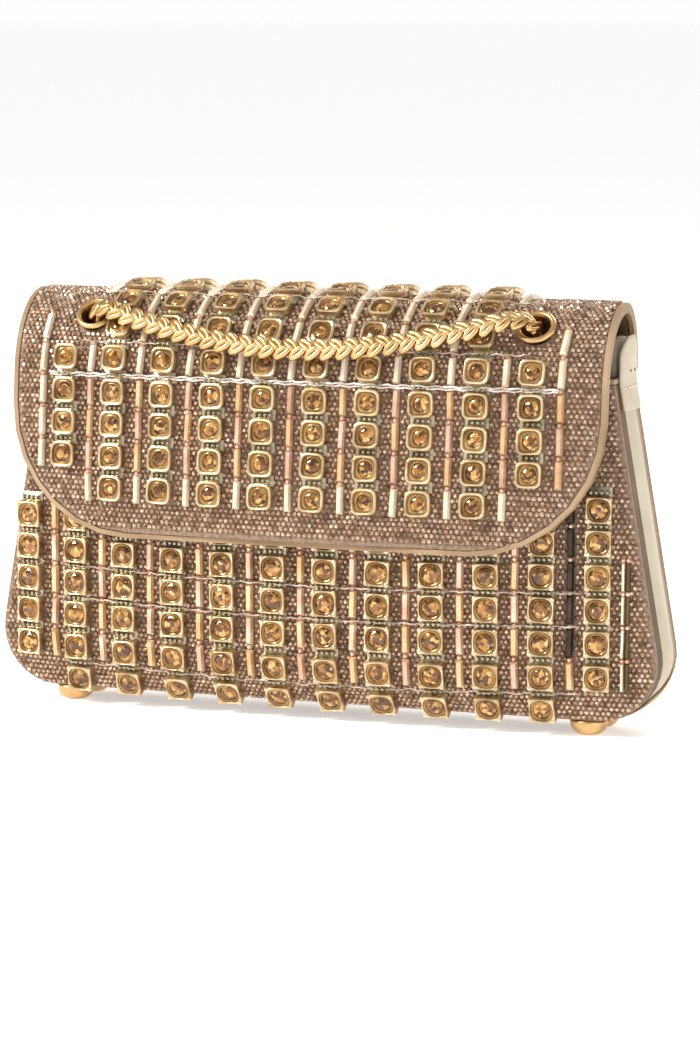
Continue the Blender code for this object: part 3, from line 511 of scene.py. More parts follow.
def bar_template(length, width, height):
    """A baguette: a bar with a table and sloping sides."""

    def ring(inset, z):
        x, y = width / 2 - inset, length / 2 - inset
        return [(-x, -y, z), (x, -y, z), (x, y, z), (-x, y, z)]

    return rings([ring(0, 0.2 * MM), ring(0, height * 0.6), ring(width * 0.22, height)])


def swept(name, route, radius, material, body, sides=6, flat=1.0):
    """A thin tube along a route of (point, outward direction)."""
    points = [p for p, out in route]
    ring_count = len(points)
    mesh_points, faces = [], []
    for i, (p, out) in enumerate(route):
        ahead = points[min(i + 1, ring_count - 1)] - points[max(i - 1, 0)]
        side = ahead.cross(out).normalized()
        for k in range(sides):
            a = 2 * math.pi * k / sides
            mesh_points.append(p + side * radius * math.cos(a) + out * radius * flat * math.sin(a))
    for i in range(ring_count - 1):
        for k in range(sides):
            after = (k + 1) % sides
            a, b = i * sides + k, i * sides + after
            faces.append((a, a + sides, b + sides, b))
    end = ring_count * sides
    faces += [tuple(range(sides)), tuple(range(end - 1, end - sides - 1, -1))]
    return new_piece(name, mesh_points, faces, material, body, True)


# ------------------------ square settings


def column_x(number, columns, pitch, shift):
    return (number - (columns + 1) / 2) * pitch + shift


def flap_spots():
    """Places of the flap's square settings, as (x, s)."""
    spots = []
    for number in range(1, FLAP_COLUMNS + 1):
        x = column_x(number, FLAP_COLUMNS, FLAP_PITCH, FLAP_PATTERN_SHIFT)
        outer = number in (1, FLAP_COLUMNS)
        for row in range(1, 5) if outer else range(FLAP_ROWS):
            spots.append((x, FLAP_FIRST_ROW + row * FLAP_ROW_PITCH))
    return spots


def body_spots():
    """Places of the front's square settings, as (x, s)."""
    spots = []
    for number in range(1, BODY_COLUMNS + 1):
        x = column_x(number, BODY_COLUMNS, BODY_PITCH, BODY_PATTERN_SHIFT)
        walked, heights = panel_stations(x)
        reach = abs(x) + SETTING / 2
        for row in range(BODY_ROWS + (number == BODY_COLUMNS)):
            s = BODY_FIRST_ROW + row * BODY_ROW_PITCH
            low, high = np.interp([s - SETTING / 2, s + SETTING / 2], walked, heights)
            if min(outline(low), outline(high)) > reach:
                spots.append((x, s))
    return spots


def back_spots():
    spots = []
    for number in range(2, BODY_COLUMNS):
        x = column_x(number, BODY_COLUMNS, BODY_PITCH, 0)
        for row in range(1, BACK_ROWS + 1):
            spots.append((x, BODY_FIRST_ROW + row * BODY_ROW_PITCH))
    return spots


def on_panel(x, s, side, lift=0.0):
    point, across, up, out = panel_frame(x, panel_height(x, s), side)
    return point + out * lift, across, up, out


def on_flap(x, s, lift=0.0):
    point, across, up, out = flap_frame(x, s)
    return point + out * lift, across, up, out


def jitter(placed, amount):
    """Turn a frame a little about its outward direction and tip it slightly."""
    point, across, up, out = placed
    turn = Matrix.Rotation(RANDOM.normal(0, amount), 3, out)
    tip = Matrix.Rotation(RANDOM.normal(0, amount), 3, across)
    return point, tip @ turn @ across, tip @ turn @ up, tip @ turn @ out, 1.0


def make_settings(name, body, placed, cup):
    """Cups, their seats and stones, for one part of the bag."""
    cups = [jitter(p, SETTING_TURN) for p in placed]
    mouth, mouth_power = cup["mouth"], cup["mouth_power"]
    stone, depth = cup["stone"], cup["depth"]
    if cup is CLAW_CUP:
        stamped(f"{name}_claws", claw_template(), cups, SETTING_GOLD, body)
    stamped(f"{name}_cups", cup_template(cup["power"], mouth, mouth_power), cups, SETTING_GOLD, body)
    stamped(f"{name}_wells", well_template(mouth, mouth_power, stone, depth), cups, BRONZE, body)
    gems = []
    for point, across, up, out, scale in cups:
        turn = Matrix.Rotation(RANDOM.uniform(0, math.pi), 3, out)
        gems.append((point, turn @ across, turn @ up, out, scale))
    stamped(f"{name}_gems", gem_template(stone, SETTING_HEIGHT - depth * 0.6), gems, TOPAZ, body)


# ------------------------ small stones and bars


def blocked(x, s, spots, bars, clear):
    """Whether a small stone at (x, s) would stand in a setting or a bar."""
    half = SETTING / 2 + clear
    for bx, by in spots:
        if abs(x - bx) < half and abs(s - by) < half:
            return True
    return any(abs(x - bx) < 1.5 * MM and low < s < high for bx, low, high in bars)


def stone_frames(place, inside, spots, bars, s_low, s_high, half):
    """Rows of small stones over a surface, left out where something bigger stands."""
    clear = -0.1 * MM
    frames = []
    rows = int((s_high - s_low) / (STONE * STONE_ROW))
    columns = int(2 * half / STONE)
    spot_array = np.array(spots)
    for i in range(rows):
        s = s_low + (i + 0.5) * STONE * STONE_ROW
        near = spot_array[np.abs(spot_array[:, 1] - s) < SETTING / 2 + 2 * MM]
        active = [b for b in bars if b[1] < s < b[2]]
        for j in range(columns):
            x = -half + (j + 0.5 * (i % 2)) * STONE
            if not inside(x, s) or blocked(x, s, near, active, clear):
                continue
            point, across, up, out = place(x, s)
            spin = Matrix.Rotation(RANDOM.uniform(0, math.pi), 3, out)
            tip = Matrix.Rotation(RANDOM.normal(0, STONE_TIP), 3, across)
            size = STONE * RANDOM.uniform(0.86, 1.02)
            frames.append((point, tip @ spin @ across, tip @ spin @ up, tip @ out, size))
    return frames


def make_stones(name, frames, body):
    """The small stones in two pieces: the lower rows and the upper rows."""
    half = len(frames) // 2
    stamped(f"{name}_low", rhinestone_template(), frames[:half], RHINESTONES, body)
    stamped(f"{name}_high", rhinestone_template(), frames[half:], RHINESTONES, body)


def bar_columns(columns, pitch, shift, first, row_pitch, rows, fits):
    """Columns of bars beside and between the settings: (x, low, high) for every bar that fits."""
    bars = []
    for number in range(columns + 1):
        x = column_x(number + 0.5, columns, pitch, shift)
        for row in rows:
            middle = first + row * row_pitch
            low, high = middle - row_pitch * BAR_SHARE, middle + row_pitch * BAR_SHARE
            if fits(x, low, high):
                bars.append((x, low, high))
    return bars


def make_bars(name, place, bars, material, body, width=2.3 * MM):
    """Baguettes, each with a small bead at its upper end."""
    frames, ends = [], []
    for x, low, high in bars:
        frames.append(jitter(place(x, (low + high) / 2), BAR_TURN))
        ends.append((*place(x, high + 0.55 * MM), 2.1 * MM))
    length = bars[0][2] - bars[0][1] - 0.3 * MM
    stamped(name, bar_template(length, width, BAR_HEIGHT), frames, material, body)
    stamped(f"{name}_beads", tall_template(2), ends, PINK_BAR, body)


def make_joints(name, place, spots, row_pitch, body):
    """Olive metal between one setting and the next: a plate and a row of beads."""
    beads, plates = [], []
    for x, s in spots:
        plates.append((*place(x, s + row_pitch / 2), 1.0))
        for offset in (-2.7, -0.9, 0.9, 2.7):
            beads.append((*place(x + offset * MM, s + row_pitch / 2), 1.9 * MM))
    plate = bar_template(row_pitch - SETTING + 1.6 * MM, SETTING - 0.6 * MM, 1.7 * MM)
    stamped(f"{name}_plates", plate, plates, OLIVE, body)
    stamped(f"{name}_beads", tall_template(3.4), beads, OLIVE, body)


def make_threads(name, place, levels, half, body, material=THREAD, size=THREAD_RADIUS):
    """Thin wires that cross the columns between two rows."""
    steps = 120
    for number, s in enumerate(levels):
        route = []
        for k in range(steps + 1):
            x = -half + 2 * half * k / steps
            wave = 0.22 * MM * math.sin(k * 1.7 + number)
            lift = (2.4 + 0.5 * math.sin(k * 0.9 + 2 * number)) * MM
            point, across, up, out = place(x, s + wave, lift)
            route.append((point, out))
        swept(f"{name}_{number:02d}", route, size, material, body, 5)


def flap_row(number):
    """Distance up the flap of a row of settings, counted from 0 and also between rows."""
    return FLAP_FIRST_ROW + FLAP_ROW_PITCH * number


def flap_bar_fits(x, low, high):
    """Whether the flap has room for a bar, clear of its corners, eyelets and shoulder."""
    columns = abs(x - FLAP_PATTERN_SHIFT) / FLAP_PITCH
    if columns > 4.6:
        return flap_row(0.4) < low and high < EYELET_ALONG + 6 * MM
    if columns > 3.6:
        return high < EYELET_ALONG - EYELET_RADIUS or low > EYELET_ALONG + EYELET_RADIUS
    return low > 8 * MM and high < flap_row(10.5)


def flap_clear(x, s):
    """Whether a small stone at (x, s) is inside the flap's edge and outside its eyelets."""
    if abs(x) > flap_half_width(s) - 0.9 * MM or not 0.9 * MM < s < FLAP_LENGTH - 0.8 * MM:
        return False
    gaps = [math.hypot(x - side * EYELET_X - EYELET_SHIFT, s - EYELET_ALONG) for side in (-1, 1)]
    return min(gaps) > EYELET_RADIUS + 0.8 * MM


def flap_bars():
    """The flap's bars: all, those with a pale look and the rest."""
    grid = (FLAP_COLUMNS, FLAP_PITCH, FLAP_PATTERN_SHIFT, FLAP_FIRST_ROW, FLAP_ROW_PITCH)
    bars = bar_columns(*grid, range(FLAP_ROWS), flap_bar_fits)
    low_edge, high_edge = FLAP_FIRST_ROW + 5 * MM, flap_row(3.4)
    pale = [b for b in bars if b[1] > high_edge or b[2] < low_edge or b[0] < -4.6 * FLAP_PITCH]
    return bars, pale, [b for b in bars if b not in pale]


def joint_spots(spots):
    """The flap's settings that have olive metal above them."""
    joined = []
    for x, s in spots:
        inner = abs(x - FLAP_PATTERN_SHIFT) < 4 * FLAP_PITCH
        if s < FLAP_LENGTH - 12 * MM and (inner or s < flap_row(4) - MM):
            joined.append((x, s))
    return joined


def dress_flap():
    """Everything sewn to the flap's outside."""
    spots = flap_spots()
    bars, pale, rest = flap_bars()
    make_settings("flap_settings", "flap", [on_flap(x, s) for x, s in spots], PLAIN_CUP)
    stones = stone_frames(on_flap, flap_clear, spots, bars, 0, FLAP_LENGTH, FLAP_HALF_WIDTH)
    make_stones("flap_stones", stones, "flap")
    make_bars("flap_bars_pale", on_flap, pale, PALE_BAR, "flap")
    make_bars("flap_bars_pink", on_flap, rest[::2], PINK_BAR, "flap")
    make_bars("flap_bars_warm", on_flap, rest[1::2], WARM_BAR, "flap")
    make_joints("flap_beads", on_flap, joint_spots(spots), FLAP_ROW_PITCH, "flap")
    levels = [flap_row(k + 0.5) for k in (4, 6, 8)]
    make_threads("flap_thread", on_flap, levels, FLAP_PITCH * 4.3, "flap")
    levels = [flap_row(3.5) + offset * MM for offset in (-0.3, 0.5)]
    reach = FLAP_PITCH * 4.9
    make_threads("flap_bright_thread", on_flap, levels, reach, "flap", BRIGHT_THREAD, 0.4 * MM)
    nodes = [f"flap_settings_{n:02d}" for n in range(1, FLAP_COLUMNS + 1)]
    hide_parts(*nodes)


def panel_clear(x, s):
    """Whether a small stone at (x, s) is inside the panel's seam."""
    return abs(x) < outline(panel_height(x, s)) - 1.0 * MM


def panel_bars(side, top, shift):
    """The bars that fit on the front or the back."""

    def fits(x, low, high):
        walked, heights = panel_stations(x)
        z_low, z_high = np.interp([low, high], walked, heights)
        room = min(outline(z_low), outline(z_high)) - abs(x)
        outermost = side > 0 and abs(x) > 5.5 * BODY_PITCH
        return room > 3.2 * MM and low > 0.4 * MM and high < top and not outermost

    grid = (BODY_COLUMNS, BODY_PITCH, shift, BODY_FIRST_ROW, BODY_ROW_PITCH)
    return bar_columns(*grid, range(10), fits)


def part_front_bars(bars, shift):
    """The front's dark column, its thin outer column and the rest."""
    dark_x = column_x(BODY_COLUMNS - 0.5, BODY_COLUMNS, BODY_PITCH, shift)
    dark, thin, rest = [], [], []
    for x, low, high in bars:
        if abs(x - dark_x) < MM and low > BODY_FIRST_ROW + BODY_ROW_PITCH:
            dark.append((x, low, high))
        elif abs(x - dark_x - BODY_PITCH) < MM:
            thin.append((x - 1.2 * MM, low, high))
        else:
            rest.append((x, low, high))
    return dark, thin, rest


def dress_panel(side, spots, name, shift):
    """Stones, bars, beads and threads of the front (side -1) or the back (side 1)."""

    def place(x, s, lift=0.0):
        return on_panel(x, s, side, lift)

    top = panel_stations(0)[0][-1] - 3.5 * MM
    bars = panel_bars(side, top, shift)
    dark, thin, rest = part_front_bars(bars, shift) if side < 0 else ([], [], bars)
    make_settings(f"{name}_settings", "bag_body", [place(x, s) for x, s in spots], CLAW_CUP)
    stones = stone_frames(place, panel_clear, spots, bars, 0.4 * MM, top, BASE_HALF_WIDTH)
    make_stones(f"{name}_stones", stones, "bag_body")
    make_bars(f"{name}_bars_warm", place, rest[::2], WARM_BAR, "bag_body", 2.6 * MM)
    make_bars(f"{name}_bars_pink", place, rest[1::2], PINK_BAR, "bag_body", 2.6 * MM)
    if side < 0:
        make_bars(f"{name}_bars_dark", place, dark, DARK_BAR, "bag_body")
        make_bars(f"{name}_bars_thin", place, thin, PALE_BAR, "bag_body", 1.2 * MM)
        shade = [(x + 1.7 * MM, low, high) for x, low, high in thin]
        make_bars(f"{name}_bars_shade", place, shade, BROWN, "bag_body", 1.2 * MM)
    make_joints(f"{name}_beads", place, spots, BODY_ROW_PITCH, "bag_body")
    levels = [BODY_FIRST_ROW + BODY_ROW_PITCH * (k + 0.5) for k in (0, 2, 3)]
    make_threads(f"{name}_thread", place, levels, BODY_PITCH * 5, "bag_body")


# ------------------------ chain


def smooth_route(corners, count):
    """Points read from a smooth curve through the corners."""
    ends = [corners[0] * 2 - corners[1]] + corners + [corners[-1] * 2 - corners[-2]]
    spans = len(corners) - 1
    route = []
    for k in range(count):
        place = k / (count - 1) * spans
        i = min(int(place), spans - 1)
        t = place - i
        a, b, c, d = ends[i : i + 4]
        bend = (a * 2 - b * 5 + c * 4 - d) * t * t + (b * 3 - a - c * 3 + d) * t**3
        route.append((b * 2 + (c - a) * t + bend) / 2)
    return route


def link_template():
    """One oval wire link, folded slightly along its length."""
    half_length, half_width, wire = 3.0 * MM, 0.95 * MM, 1.0 * MM
    around, sides = 14, 6
    points, faces = [], []
    for i in range(around):
        a = 2 * math.pi * i / around
        centre = Vector((half_width * math.cos(a), half_length * math.sin(a), 0))
        centre.z = 0.5 * MM * math.cos(a) ** 2
        out = Vector((math.cos(a) * half_length, math.sin(a) * half_width, 0)).normalized()
        for k in range(sides):
            b = 2 * math.pi * k / sides
            points.append(centre + out * wire * math.cos(b) + Vector((0, 0, wire * math.sin(b))))
    for i in range(around):
        after = (i + 1) % around
        for k in range(sides):
            next_k = (k + 1) % sides
            faces.append(
                (i * sides + k, after * sides + k, after * sides + next_k, i * sides + next_k)
            )
    return [tuple(p) for p in points], faces


def link_frames(route, normal_at):
    """Frames of the links along a route, each leaning the other way from the last."""
    lengths = [0.0]
    for a, b in zip(route, route[1:]):
        lengths.append(lengths[-1] + (b - a).length)
    count = int(lengths[-1] / LINK_SPACING)
    frames = []
    for n in range(count + 1):
        target = lengths[-1] * n / count
        i = max(k for k in range(len(route) - 1) if lengths[k] <= target + 1e-9)
        span = lengths[i + 1] - lengths[i]
        t = (target - lengths[i]) / span
        point = route[i].lerp(route[i + 1], t)
        ahead = (route[min(i + 1, len(route) - 1)] - route[i]).normalized()
        out = normal_at(n / count)
        out = (out - ahead * out.dot(ahead)).normalized()
        side = ahead.cross(out)
        lean = 1 if n % 2 else -1
        turn = Matrix.Rotation(LINK_TURN * lean, 3, out)
        roll = Matrix.Rotation(LINK_ROLL * lean, 3, ahead)
        mix = roll @ turn
        shift = side * LINK_SHIFT * lean
        frames.append((point + shift, mix @ side, mix @ ahead, mix @ out, 1.0))
    return frames


def chain_along(u):
    """Distance up the flap of the chain over it, u running from -1 to 1 between the eyelets."""
    return CHAIN_LOW + (EYELET_ALONG - CHAIN_LOW) * u * u


def chain_lift(u):
    """Height of that chain over the flap: it dips through the eyelets at its ends."""
    if abs(u) == 1:
        return -2.5 * MM
    return CHAIN_HEIGHT if abs(u) <= 0.9 else 3.6 * MM


def chain_outward(t):
    """Direction the links face at a share t of that chain, turned inward near its ends."""
    u = 2 * t - 1
    out = on_flap(0, chain_along(u))[3]
    inward = Vector((-1 if u > 0 else 1, 0, 0))
    return (out + inward * max(abs(u) - 0.94, 0) * 25).normalized()


def make_chain():
    """The length of chain that hangs over the flap."""
    corners = []
    for u in (-1, -0.985, -0.9, -0.75, -0.5, -0.25, 0, 0.25, 0.5, 0.75, 0.9, 0.985, 1):
        corners.append(on_flap(EYELET_SHIFT + EYELET_X * u, chain_along(u), chain_lift(u))[0])
    frames = link_frames(smooth_route(corners, 160), chain_outward)
    over = stamped("chain_links", link_template(), frames, GOLD, "flap", True)
    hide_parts("chain_over_flap")


def chain_middle_x(low, high, side):
    """Where a length of chain inside the bag runs next to the gusset."""
    return side * max(abs(low[0]), abs(high[0])) - side * CHAIN_EDGE


def drop_route(word, side, centre, hank_top):
    """From the eyelet down to the folded hank."""
    low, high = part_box(f"chain_drop_{word}")
    top = Vector((chain_middle_x(low, high, side), low[1] + 3.2 * MM, high[2] - 1.5 * MM))
    corners = [
        top,
        top + Vector((0, 2 * MM, -8 * MM)),
        Vector((top.x, centre - 3 * MM, MOUTH_Z - 10 * MM)),
        Vector((side * (HANK_X + 22 * MM), centre, MOUTH_Z * 0.55)),
        Vector((side * (HANK_X + 12 * MM), centre, hank_top + 12 * MM)),
        Vector((side * (HANK_X + 12 * MM), centre, hank_top - 3 * MM)),
    ]
    return smooth_route(corners, 60)


def hank_route(side, centre, floor):
    """Five runs to and fro on the bag's floor, in two layers."""
    reach = HANK_LENGTH / 2 - 8 * MM
    run = [-reach, -reach / 3, reach / 3, reach]
    folded = []
    for n, (y, z) in enumerate(((-5, 3.4), (0, 3.4), (5, 3.4), (2.5, 8.8), (-2.5, 8.8))):
        for k in run if n % 2 == 0 else run[::-1]:
            folded.append(Vector((side * HANK_X + k, centre + y * MM, floor + z * MM)))
    return smooth_route(folded, 180)


def return_route(word, side, centre, hank_top):
    """From the hank up to the ring."""
    low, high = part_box(f"chain_return_{word}")
    x = chain_middle_x(low, high, side)
    corners = [
        Vector((side * (HANK_X + 26 * MM), centre, hank_top - 3 * MM)),
        Vector((side * (HANK_X + 26 * MM), centre, hank_top + 12 * MM)),
        Vector((x - side * 8 * MM, centre + 2 * MM, MOUTH_Z * 0.55)),
        Vector((x - side * 1 * MM, high[1] - CHAIN_EDGE, high[2] - 15 * MM)),
        Vector((x, high[1] - CHAIN_EDGE, high[2] - 2 * MM)),
    ]
    return smooth_route(corners, 50)


def make_inner_chain(word, side):
    """Links inside the bag: down from the eyelet, folded on the floor and up to the ring."""
    low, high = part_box(f"chain_hank_{word}")
    centre = (low[1] + high[1]) / 2
    lengths = (
        ("drop", drop_route(word, side, centre, high[2]), Vector((side, 0, 0.01))),
        ("hank", hank_route(side, centre, low[2]), Vector((0, 0, 1))),
        ("return", return_route(word, side, centre, high[2]), Vector((side, 0, 0))),
    )
    for kind, route, facing in lengths:
        frames = link_frames(route, lambda t, way=facing: way)
        body = None if kind == "drop" else "bag_body"
        piece = stamped(f"chain_{kind}_links_{word}", link_template(), frames, GOLD, body, True)
        if kind == "drop":
            top = route[0]
            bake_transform(piece)
            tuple(top)
        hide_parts(f"chain_{kind}_{word}")


# ------------------------ metal fittings


def turned(name, profile, centre, axis, material, body, sides=64, closed=True):
    """A profile of (radius, height) turned about an axis."""
    turn = Vector((0, 0, 1)).rotation_difference(axis).to_matrix()
    levels = [circle(r, h, sides) for r, h in profile]
    if closed:
        levels.append(levels[0])
    points, faces = rings(levels, not closed, not closed)
    return new_piece(name, [centre + turn @ Vector(p) for p in points], faces, material, body, True)


def make_eyelet(word, side):
    centre, across, up, out = on_flap(side * EYELET_X + EYELET_SHIFT, EYELET_ALONG)
    middle = (EYELET_RADIUS + EYELET_BORE) / 2
    half = (EYELET_RADIUS - EYELET_BORE) / 2
    sleeve, sleeve_end = EYELET_BORE + 0.7 * MM, -6.2 * MM
    profile = [(EYELET_BORE, sleeve_end), (sleeve, sleeve_end), (sleeve, 0.7 * MM)]
    for k in range(13):
        a = math.pi * k / 12
        profile.append((middle + half * math.cos(a), 0.9 * MM + 1.3 * MM * math.sin(a)))
    piece = turned(f"eyelet_ring_{word}", profile, centre, out, GOLD, "flap")
    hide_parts(f"eyelet_{word}")


def make_foot(end, word):
    low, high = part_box(f"foot_{end}_{word}")
    centre = Vector(((low[0] + high[0]) / 2, (low[1] + high[1]) / 2, 0))
    radius, height = (high[0] - low[0]) / 2, high[2]
    flat, steps = 2.5 * MM, 11
    profile = [(flat, 0)]
    for k in range(1, steps + 1):
        a = math.pi / 2 * k / steps
        profile.append((flat + (radius - flat) * math.sin(a), height * 0.85 * (1 - math.cos(a))))
    profile.append((radius * 0.985, height))
    name, up = f"dome_foot_{end}_{word}", Vector((0, 0, 1))
    piece = turned(name, profile, centre, up, GOLD, "bag_body", 48, False)
    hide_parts(f"foot_{end}_{word}")


def make_hinge_cloth():
    """The cloth that joins the flap to the back panel, curving a little between them."""
    columns = 41
    half = FLAP_HALF_WIDTH - 0.2 * MM
    inner = [(y - CLOTH_THICKNESS, z) for y, z in CLOTH_LINE[::-1]]
    loop = list(CLOTH_LINE) + inner
    points = []
    for y, z in loop:
        for k in range(columns):
            x = half * (2 * k / (columns - 1) - 1)
            bowed = y * MM + DEPTH_SHIFT - FLAP_BOW * x * x
            points.append((x + FLAP_SHIFT, bowed, z * MM))
    rows = len(loop)
    faces = []
    for i in range(rows):
        after = (i + 1) % rows
        for k in range(columns - 1):
            a, b = i * columns + k, after * columns + k
            faces.append((b, b + 1, a + 1, a))
    faces.append(tuple(i * columns for i in range(rows - 1, -1, -1)))
    faces.append(tuple(i * columns + columns - 1 for i in range(rows)))
    piece = new_piece("hinge_cloth", points, faces, CLOTH, None)
    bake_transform(piece)


def side_point(side, z, y, lift):
    """Point on a gusset, and lift outward from it."""
    z = max(z, BASE_Z + 0.05 * MM)
    step = 0.3 * MM
    rise = outline(z + step) - outline(max(z - step, BASE_Z))
    out = Vector((2 * step, 0, -rise)).normalized()
    return Vector((side * (outline(z) + out.x * lift), y, z + out.z * lift))


def slab(rows, columns, point_at, flipped):
    """A thin closed sheet, from a function of row, column and layer (0 inside, 1 outside)."""
    size = (rows + 1) * (columns + 1)
    points = []
    for layer in (0, 1):
        for i in range(rows + 1):
            points += [point_at(i, k, layer) for k in range(columns + 1)]
    faces = []
    for i in range(rows):
        for k in range(columns):
            a = i * (columns + 1) + k
            inside = (a, a + columns + 1, a + columns + 2, a + 1)
            faces += [inside, tuple(n + size for n in inside[::-1])]
    faces += [(a, b, b + size, a + size) for a, b in edge_pairs(rows, columns)]
    return points, [face[::-1] for face in faces] if flipped else faces


def edge_pairs(rows, columns):
    """Neighbouring points round the edge of a grid, numbered row by row."""
    border = list(range(columns + 1))
    border += [(i + 1) * (columns + 1) - 1 for i in range(1, rows + 1)]
    border += [rows * (columns + 1) + k for k in range(columns - 1, -1, -1)]
    border += [i * (columns + 1) for i in range(rows - 1, 0, -1)]
    return zip(border, border[1:] + border[:1])


def make_corner_shade(word, side):
    """A brown-gold sheet over the gusset's lower corner: painted shade where the gusset turns under
    the base.
    """
    low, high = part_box(f"gusset_{word}")
    front, back = low[1] + 0.2 * MM, high[1] - 0.2 * MM
    rows, columns = 12, 9

    def point_at(i, k, layer):
        t = k / columns
        height = (7 + 9 * t) * MM * (i / rows) ** 2
        bow = GUSSET_BOW * (1 - (2 * t - 1) ** 2) * min(height / CORNER_RADIUS, 1)
        lift = bow + 0.15 * MM + 0.5 * MM * layer
        return side_point(side, BASE_Z + height, front + (back - front) * t, lift)

    points, faces = slab(rows, columns, point_at, side < 0)
    new_piece(f"corner_shade_{word}", points, faces, CORNER_SHADE, "bag_body", True)


def tab_cover_point(side, y, z, middle, half, lift):
    """Point on the leather cover over a gusset's top and its tab."""
    u = (y - middle) / half
    bow = GUSSET_BOW * (1 - u * u) + 0.2 * MM
    return Vector((side * (outline(min(z, MOUTH_Z)) + bow + lift), y, z))


def make_tab_cover(word, side):
    """The cream leather sewn over the gusset's top and up the tab, with its stitches."""
    low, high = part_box(f"anchor_tab_{word}")
    middle = (low[1] + high[1]) / 2 - 1.5 * MM
    half = (high[1] - low[1]) / 2 + 1.5 * MM
    bottom, top = MOUTH_Z - 9 * MM, high[2] + 0.4 * MM
    round_from = top - 7 * MM
    rows, columns, thick = 18, 10, 0.9 * MM

    def point_at(i, k, layer):
        z = bottom + (top - bottom) * i / rows
        above = max(z - round_from, 0) / (top - round_from)
        reach = half * max(math.sqrt(1 - above**2), 0.35)
        y = middle + reach * (2 * k / columns - 1)
        return tab_cover_point(side, y, z, middle, half, thick * layer)

    points, faces = slab(rows, columns, point_at, side < 0)
    new_piece(f"tab_cover_{word}", points, faces, CREAM, "bag_body", True)

    def on_cover(y, z):
        point = tab_cover_point(side, y, z, middle, half, thick)
        return point, Vector((0, 0, 1)), Vector((0, 1, 0)), Vector((side, 0, 0)), 1.0

    line = [on_cover(middle + (k - 3.5) * 2.2 * MM, MOUTH_Z - 1.5 * MM) for k in range(8)]
    stitch = bar_template(1.5 * MM, 0.5 * MM, 0.4 * MM)
    stamped(f"tab_stitches_{word}", stitch, line, PALE_BAR, "bag_body")
    dots = [on_cover(middle + offset * MM, MOUTH_Z + 4 * MM) for offset in (-2.4, 2.4)]
    dot = rings([circle(0.55 * MM, 0, 10), circle(0.5 * MM, 0.2 * MM, 10)])
    stamped(f"tab_dots_{word}", dot, dots, BROWN, "bag_body")


def dress_cad():
    """Materials of the CAD nodes that stay."""
    looks = {
        "front_panel": CLOTH,
        "back_panel": CLOTH,
        "flap_shell": CLOTH,
        "gusset_left": CREAM,
        "gusset_right": CREAM,
        "anchor_tab_left": CREAM,
        "anchor_tab_right": CREAM,
        # The front seam band's brown is painted shade in the recess between the front panel and the
        # gusset; the back band is tan.
        "seam_band_front": BROWN,
        "seam_band_back": TAN,
        "base_panel": BROWN,
        "mouth_binding": TAN,
        "flap_binding": TAN,
        "lining": SATIN,
        "slip_pocket": SATIN,
        "flap_lining": SATIN,
    }
    for name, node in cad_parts.items():
        node.data.materials.clear()
        node.data.materials.append(looks.get(name, GOLD))


# ------------------------ light, floor and camera


def make_world():
    """A grey surround with two darker bands, which the metal and stones reflect."""
    world = bpy.data.worlds.new("studio")
    bpy.context.scene.world = world
    world.use_nodes = True
    nodes, links = world.node_tree.nodes, world.node_tree.links
    background = nodes["Background"]
    place = nodes.new("ShaderNodeTexCoord")
    parts = nodes.new("ShaderNodeSeparateXYZ")
    links.new(place.outputs["Generated"], parts.inputs["Vector"])
    stops = [
        (0.0, (0.8, 0.8, 0.8)),
        (0.53, (1.0, 1.0, 1.0)),
        (0.64, (0.30, 0.29, 0.28)),
        (0.78, (0.85, 0.83, 0.80)),
        (0.88, (0.26, 0.25, 0.24)),
        (1.0, (0.75, 0.75, 0.75)),
    ]
    half = nodes.new("ShaderNodeMath")
    half.operation = "MULTIPLY_ADD"
    half.inputs[1].default_value = 0.5
    half.inputs[2].default_value = 0.5
    links.new(parts.outputs["Z"], half.inputs[0])
    ramp = colour_steps(nodes, links, half.outputs["Value"], stops)
    links.new(ramp.outputs["Color"], background.inputs["Color"])
    background.inputs["Strength"].default_value = 1.0


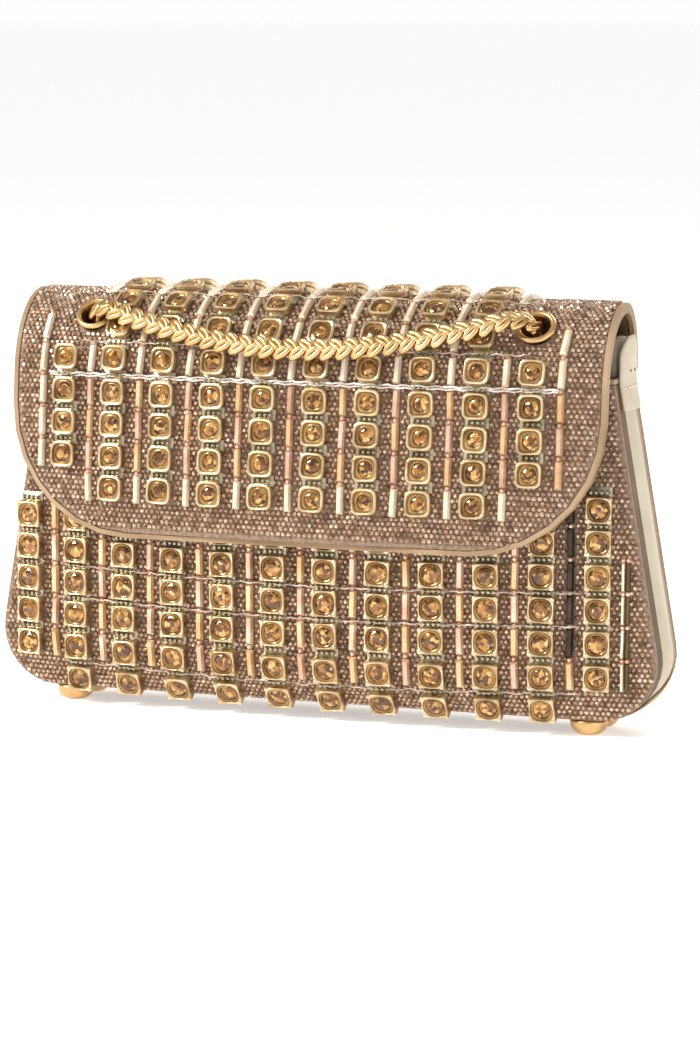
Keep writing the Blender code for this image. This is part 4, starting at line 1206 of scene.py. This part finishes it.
def add_light(name, place, size, power, colour):
    """A square lamp that faces the middle of the bag."""
    data = bpy.data.lights.new(name, "AREA")
    data.size = size
    data.energy = power
    data.color = colour
    light = bpy.data.objects.new(name, data)
    bpy.context.collection.objects.link(light)
    light.location = place
    target = Vector((0, 0, 0.07))
    light.rotation_euler = (target - Vector(place)).to_track_quat("-Z", "Y").to_euler()


def make_floor():
    """A white floor that glows a little, wide enough to hide its far edge."""
    reach = 60.0
    corners = [(-reach, -reach, 0), (reach, -reach, 0), (reach, reach, 0), (-reach, reach, 0)]
    material, nodes, links, shader = new_material("white_floor", (0.93, 0.93, 0.93), 0.9)
    shader.inputs["Specular IOR Level"].default_value = 0.1
    shader.inputs["Emission Color"].default_value = (1, 1, 1, 1)
    shader.inputs["Emission Strength"].default_value = 0.45
    floor = new_piece("floor", corners, [(0, 1, 2, 3)], material, None)


def make_camera():
    """The photo's view: slightly from above, 20 degrees to the right of the front."""
    data = bpy.data.cameras.new("camera")
    data.lens = 123.4
    data.sensor_width = 36
    camera = bpy.data.objects.new("camera", data)
    bpy.context.collection.objects.link(camera)
    camera.location = (0.4241, -1.1440, 0.2402)
    camera.rotation_euler = (math.radians(90 - 8.145), 0, math.radians(20.006))
    bpy.context.scene.camera = camera


make_camera()
bpy.context.scene.view_settings.view_transform = "Standard"
bpy.context.scene.view_settings.exposure = 0.0
make_world()
add_light("key", (-1.1, -0.9, 1.2), 0.45, 34, (1.0, 0.95, 0.87))
add_light("fill", (1.3, -0.9, 0.5), 1.0, 5, (1.0, 0.98, 0.96))
add_light("rim", (0.4, 1.3, 1.1), 0.8, 12, (1.0, 0.98, 0.95))
make_floor()
dress_cad()
dress_flap()
dress_panel(-1, body_spots(), "front", BODY_PATTERN_SHIFT)
body_nodes = [f"body_settings_{n:02d}" for n in range(1, BODY_COLUMNS + 1)]
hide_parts(*body_nodes)
dress_panel(1, back_spots(), "back", 0.0)
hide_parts("back_settings")
make_chain()
for word, side in (("left", -1), ("right", 1)):
    make_eyelet(word, side)
    make_inner_chain(word, side)
    make_corner_shade(word, side)
    make_tab_cover(word, side)
    for end in ("front", "back"):
        make_foot(end, word)
make_hinge_cloth()
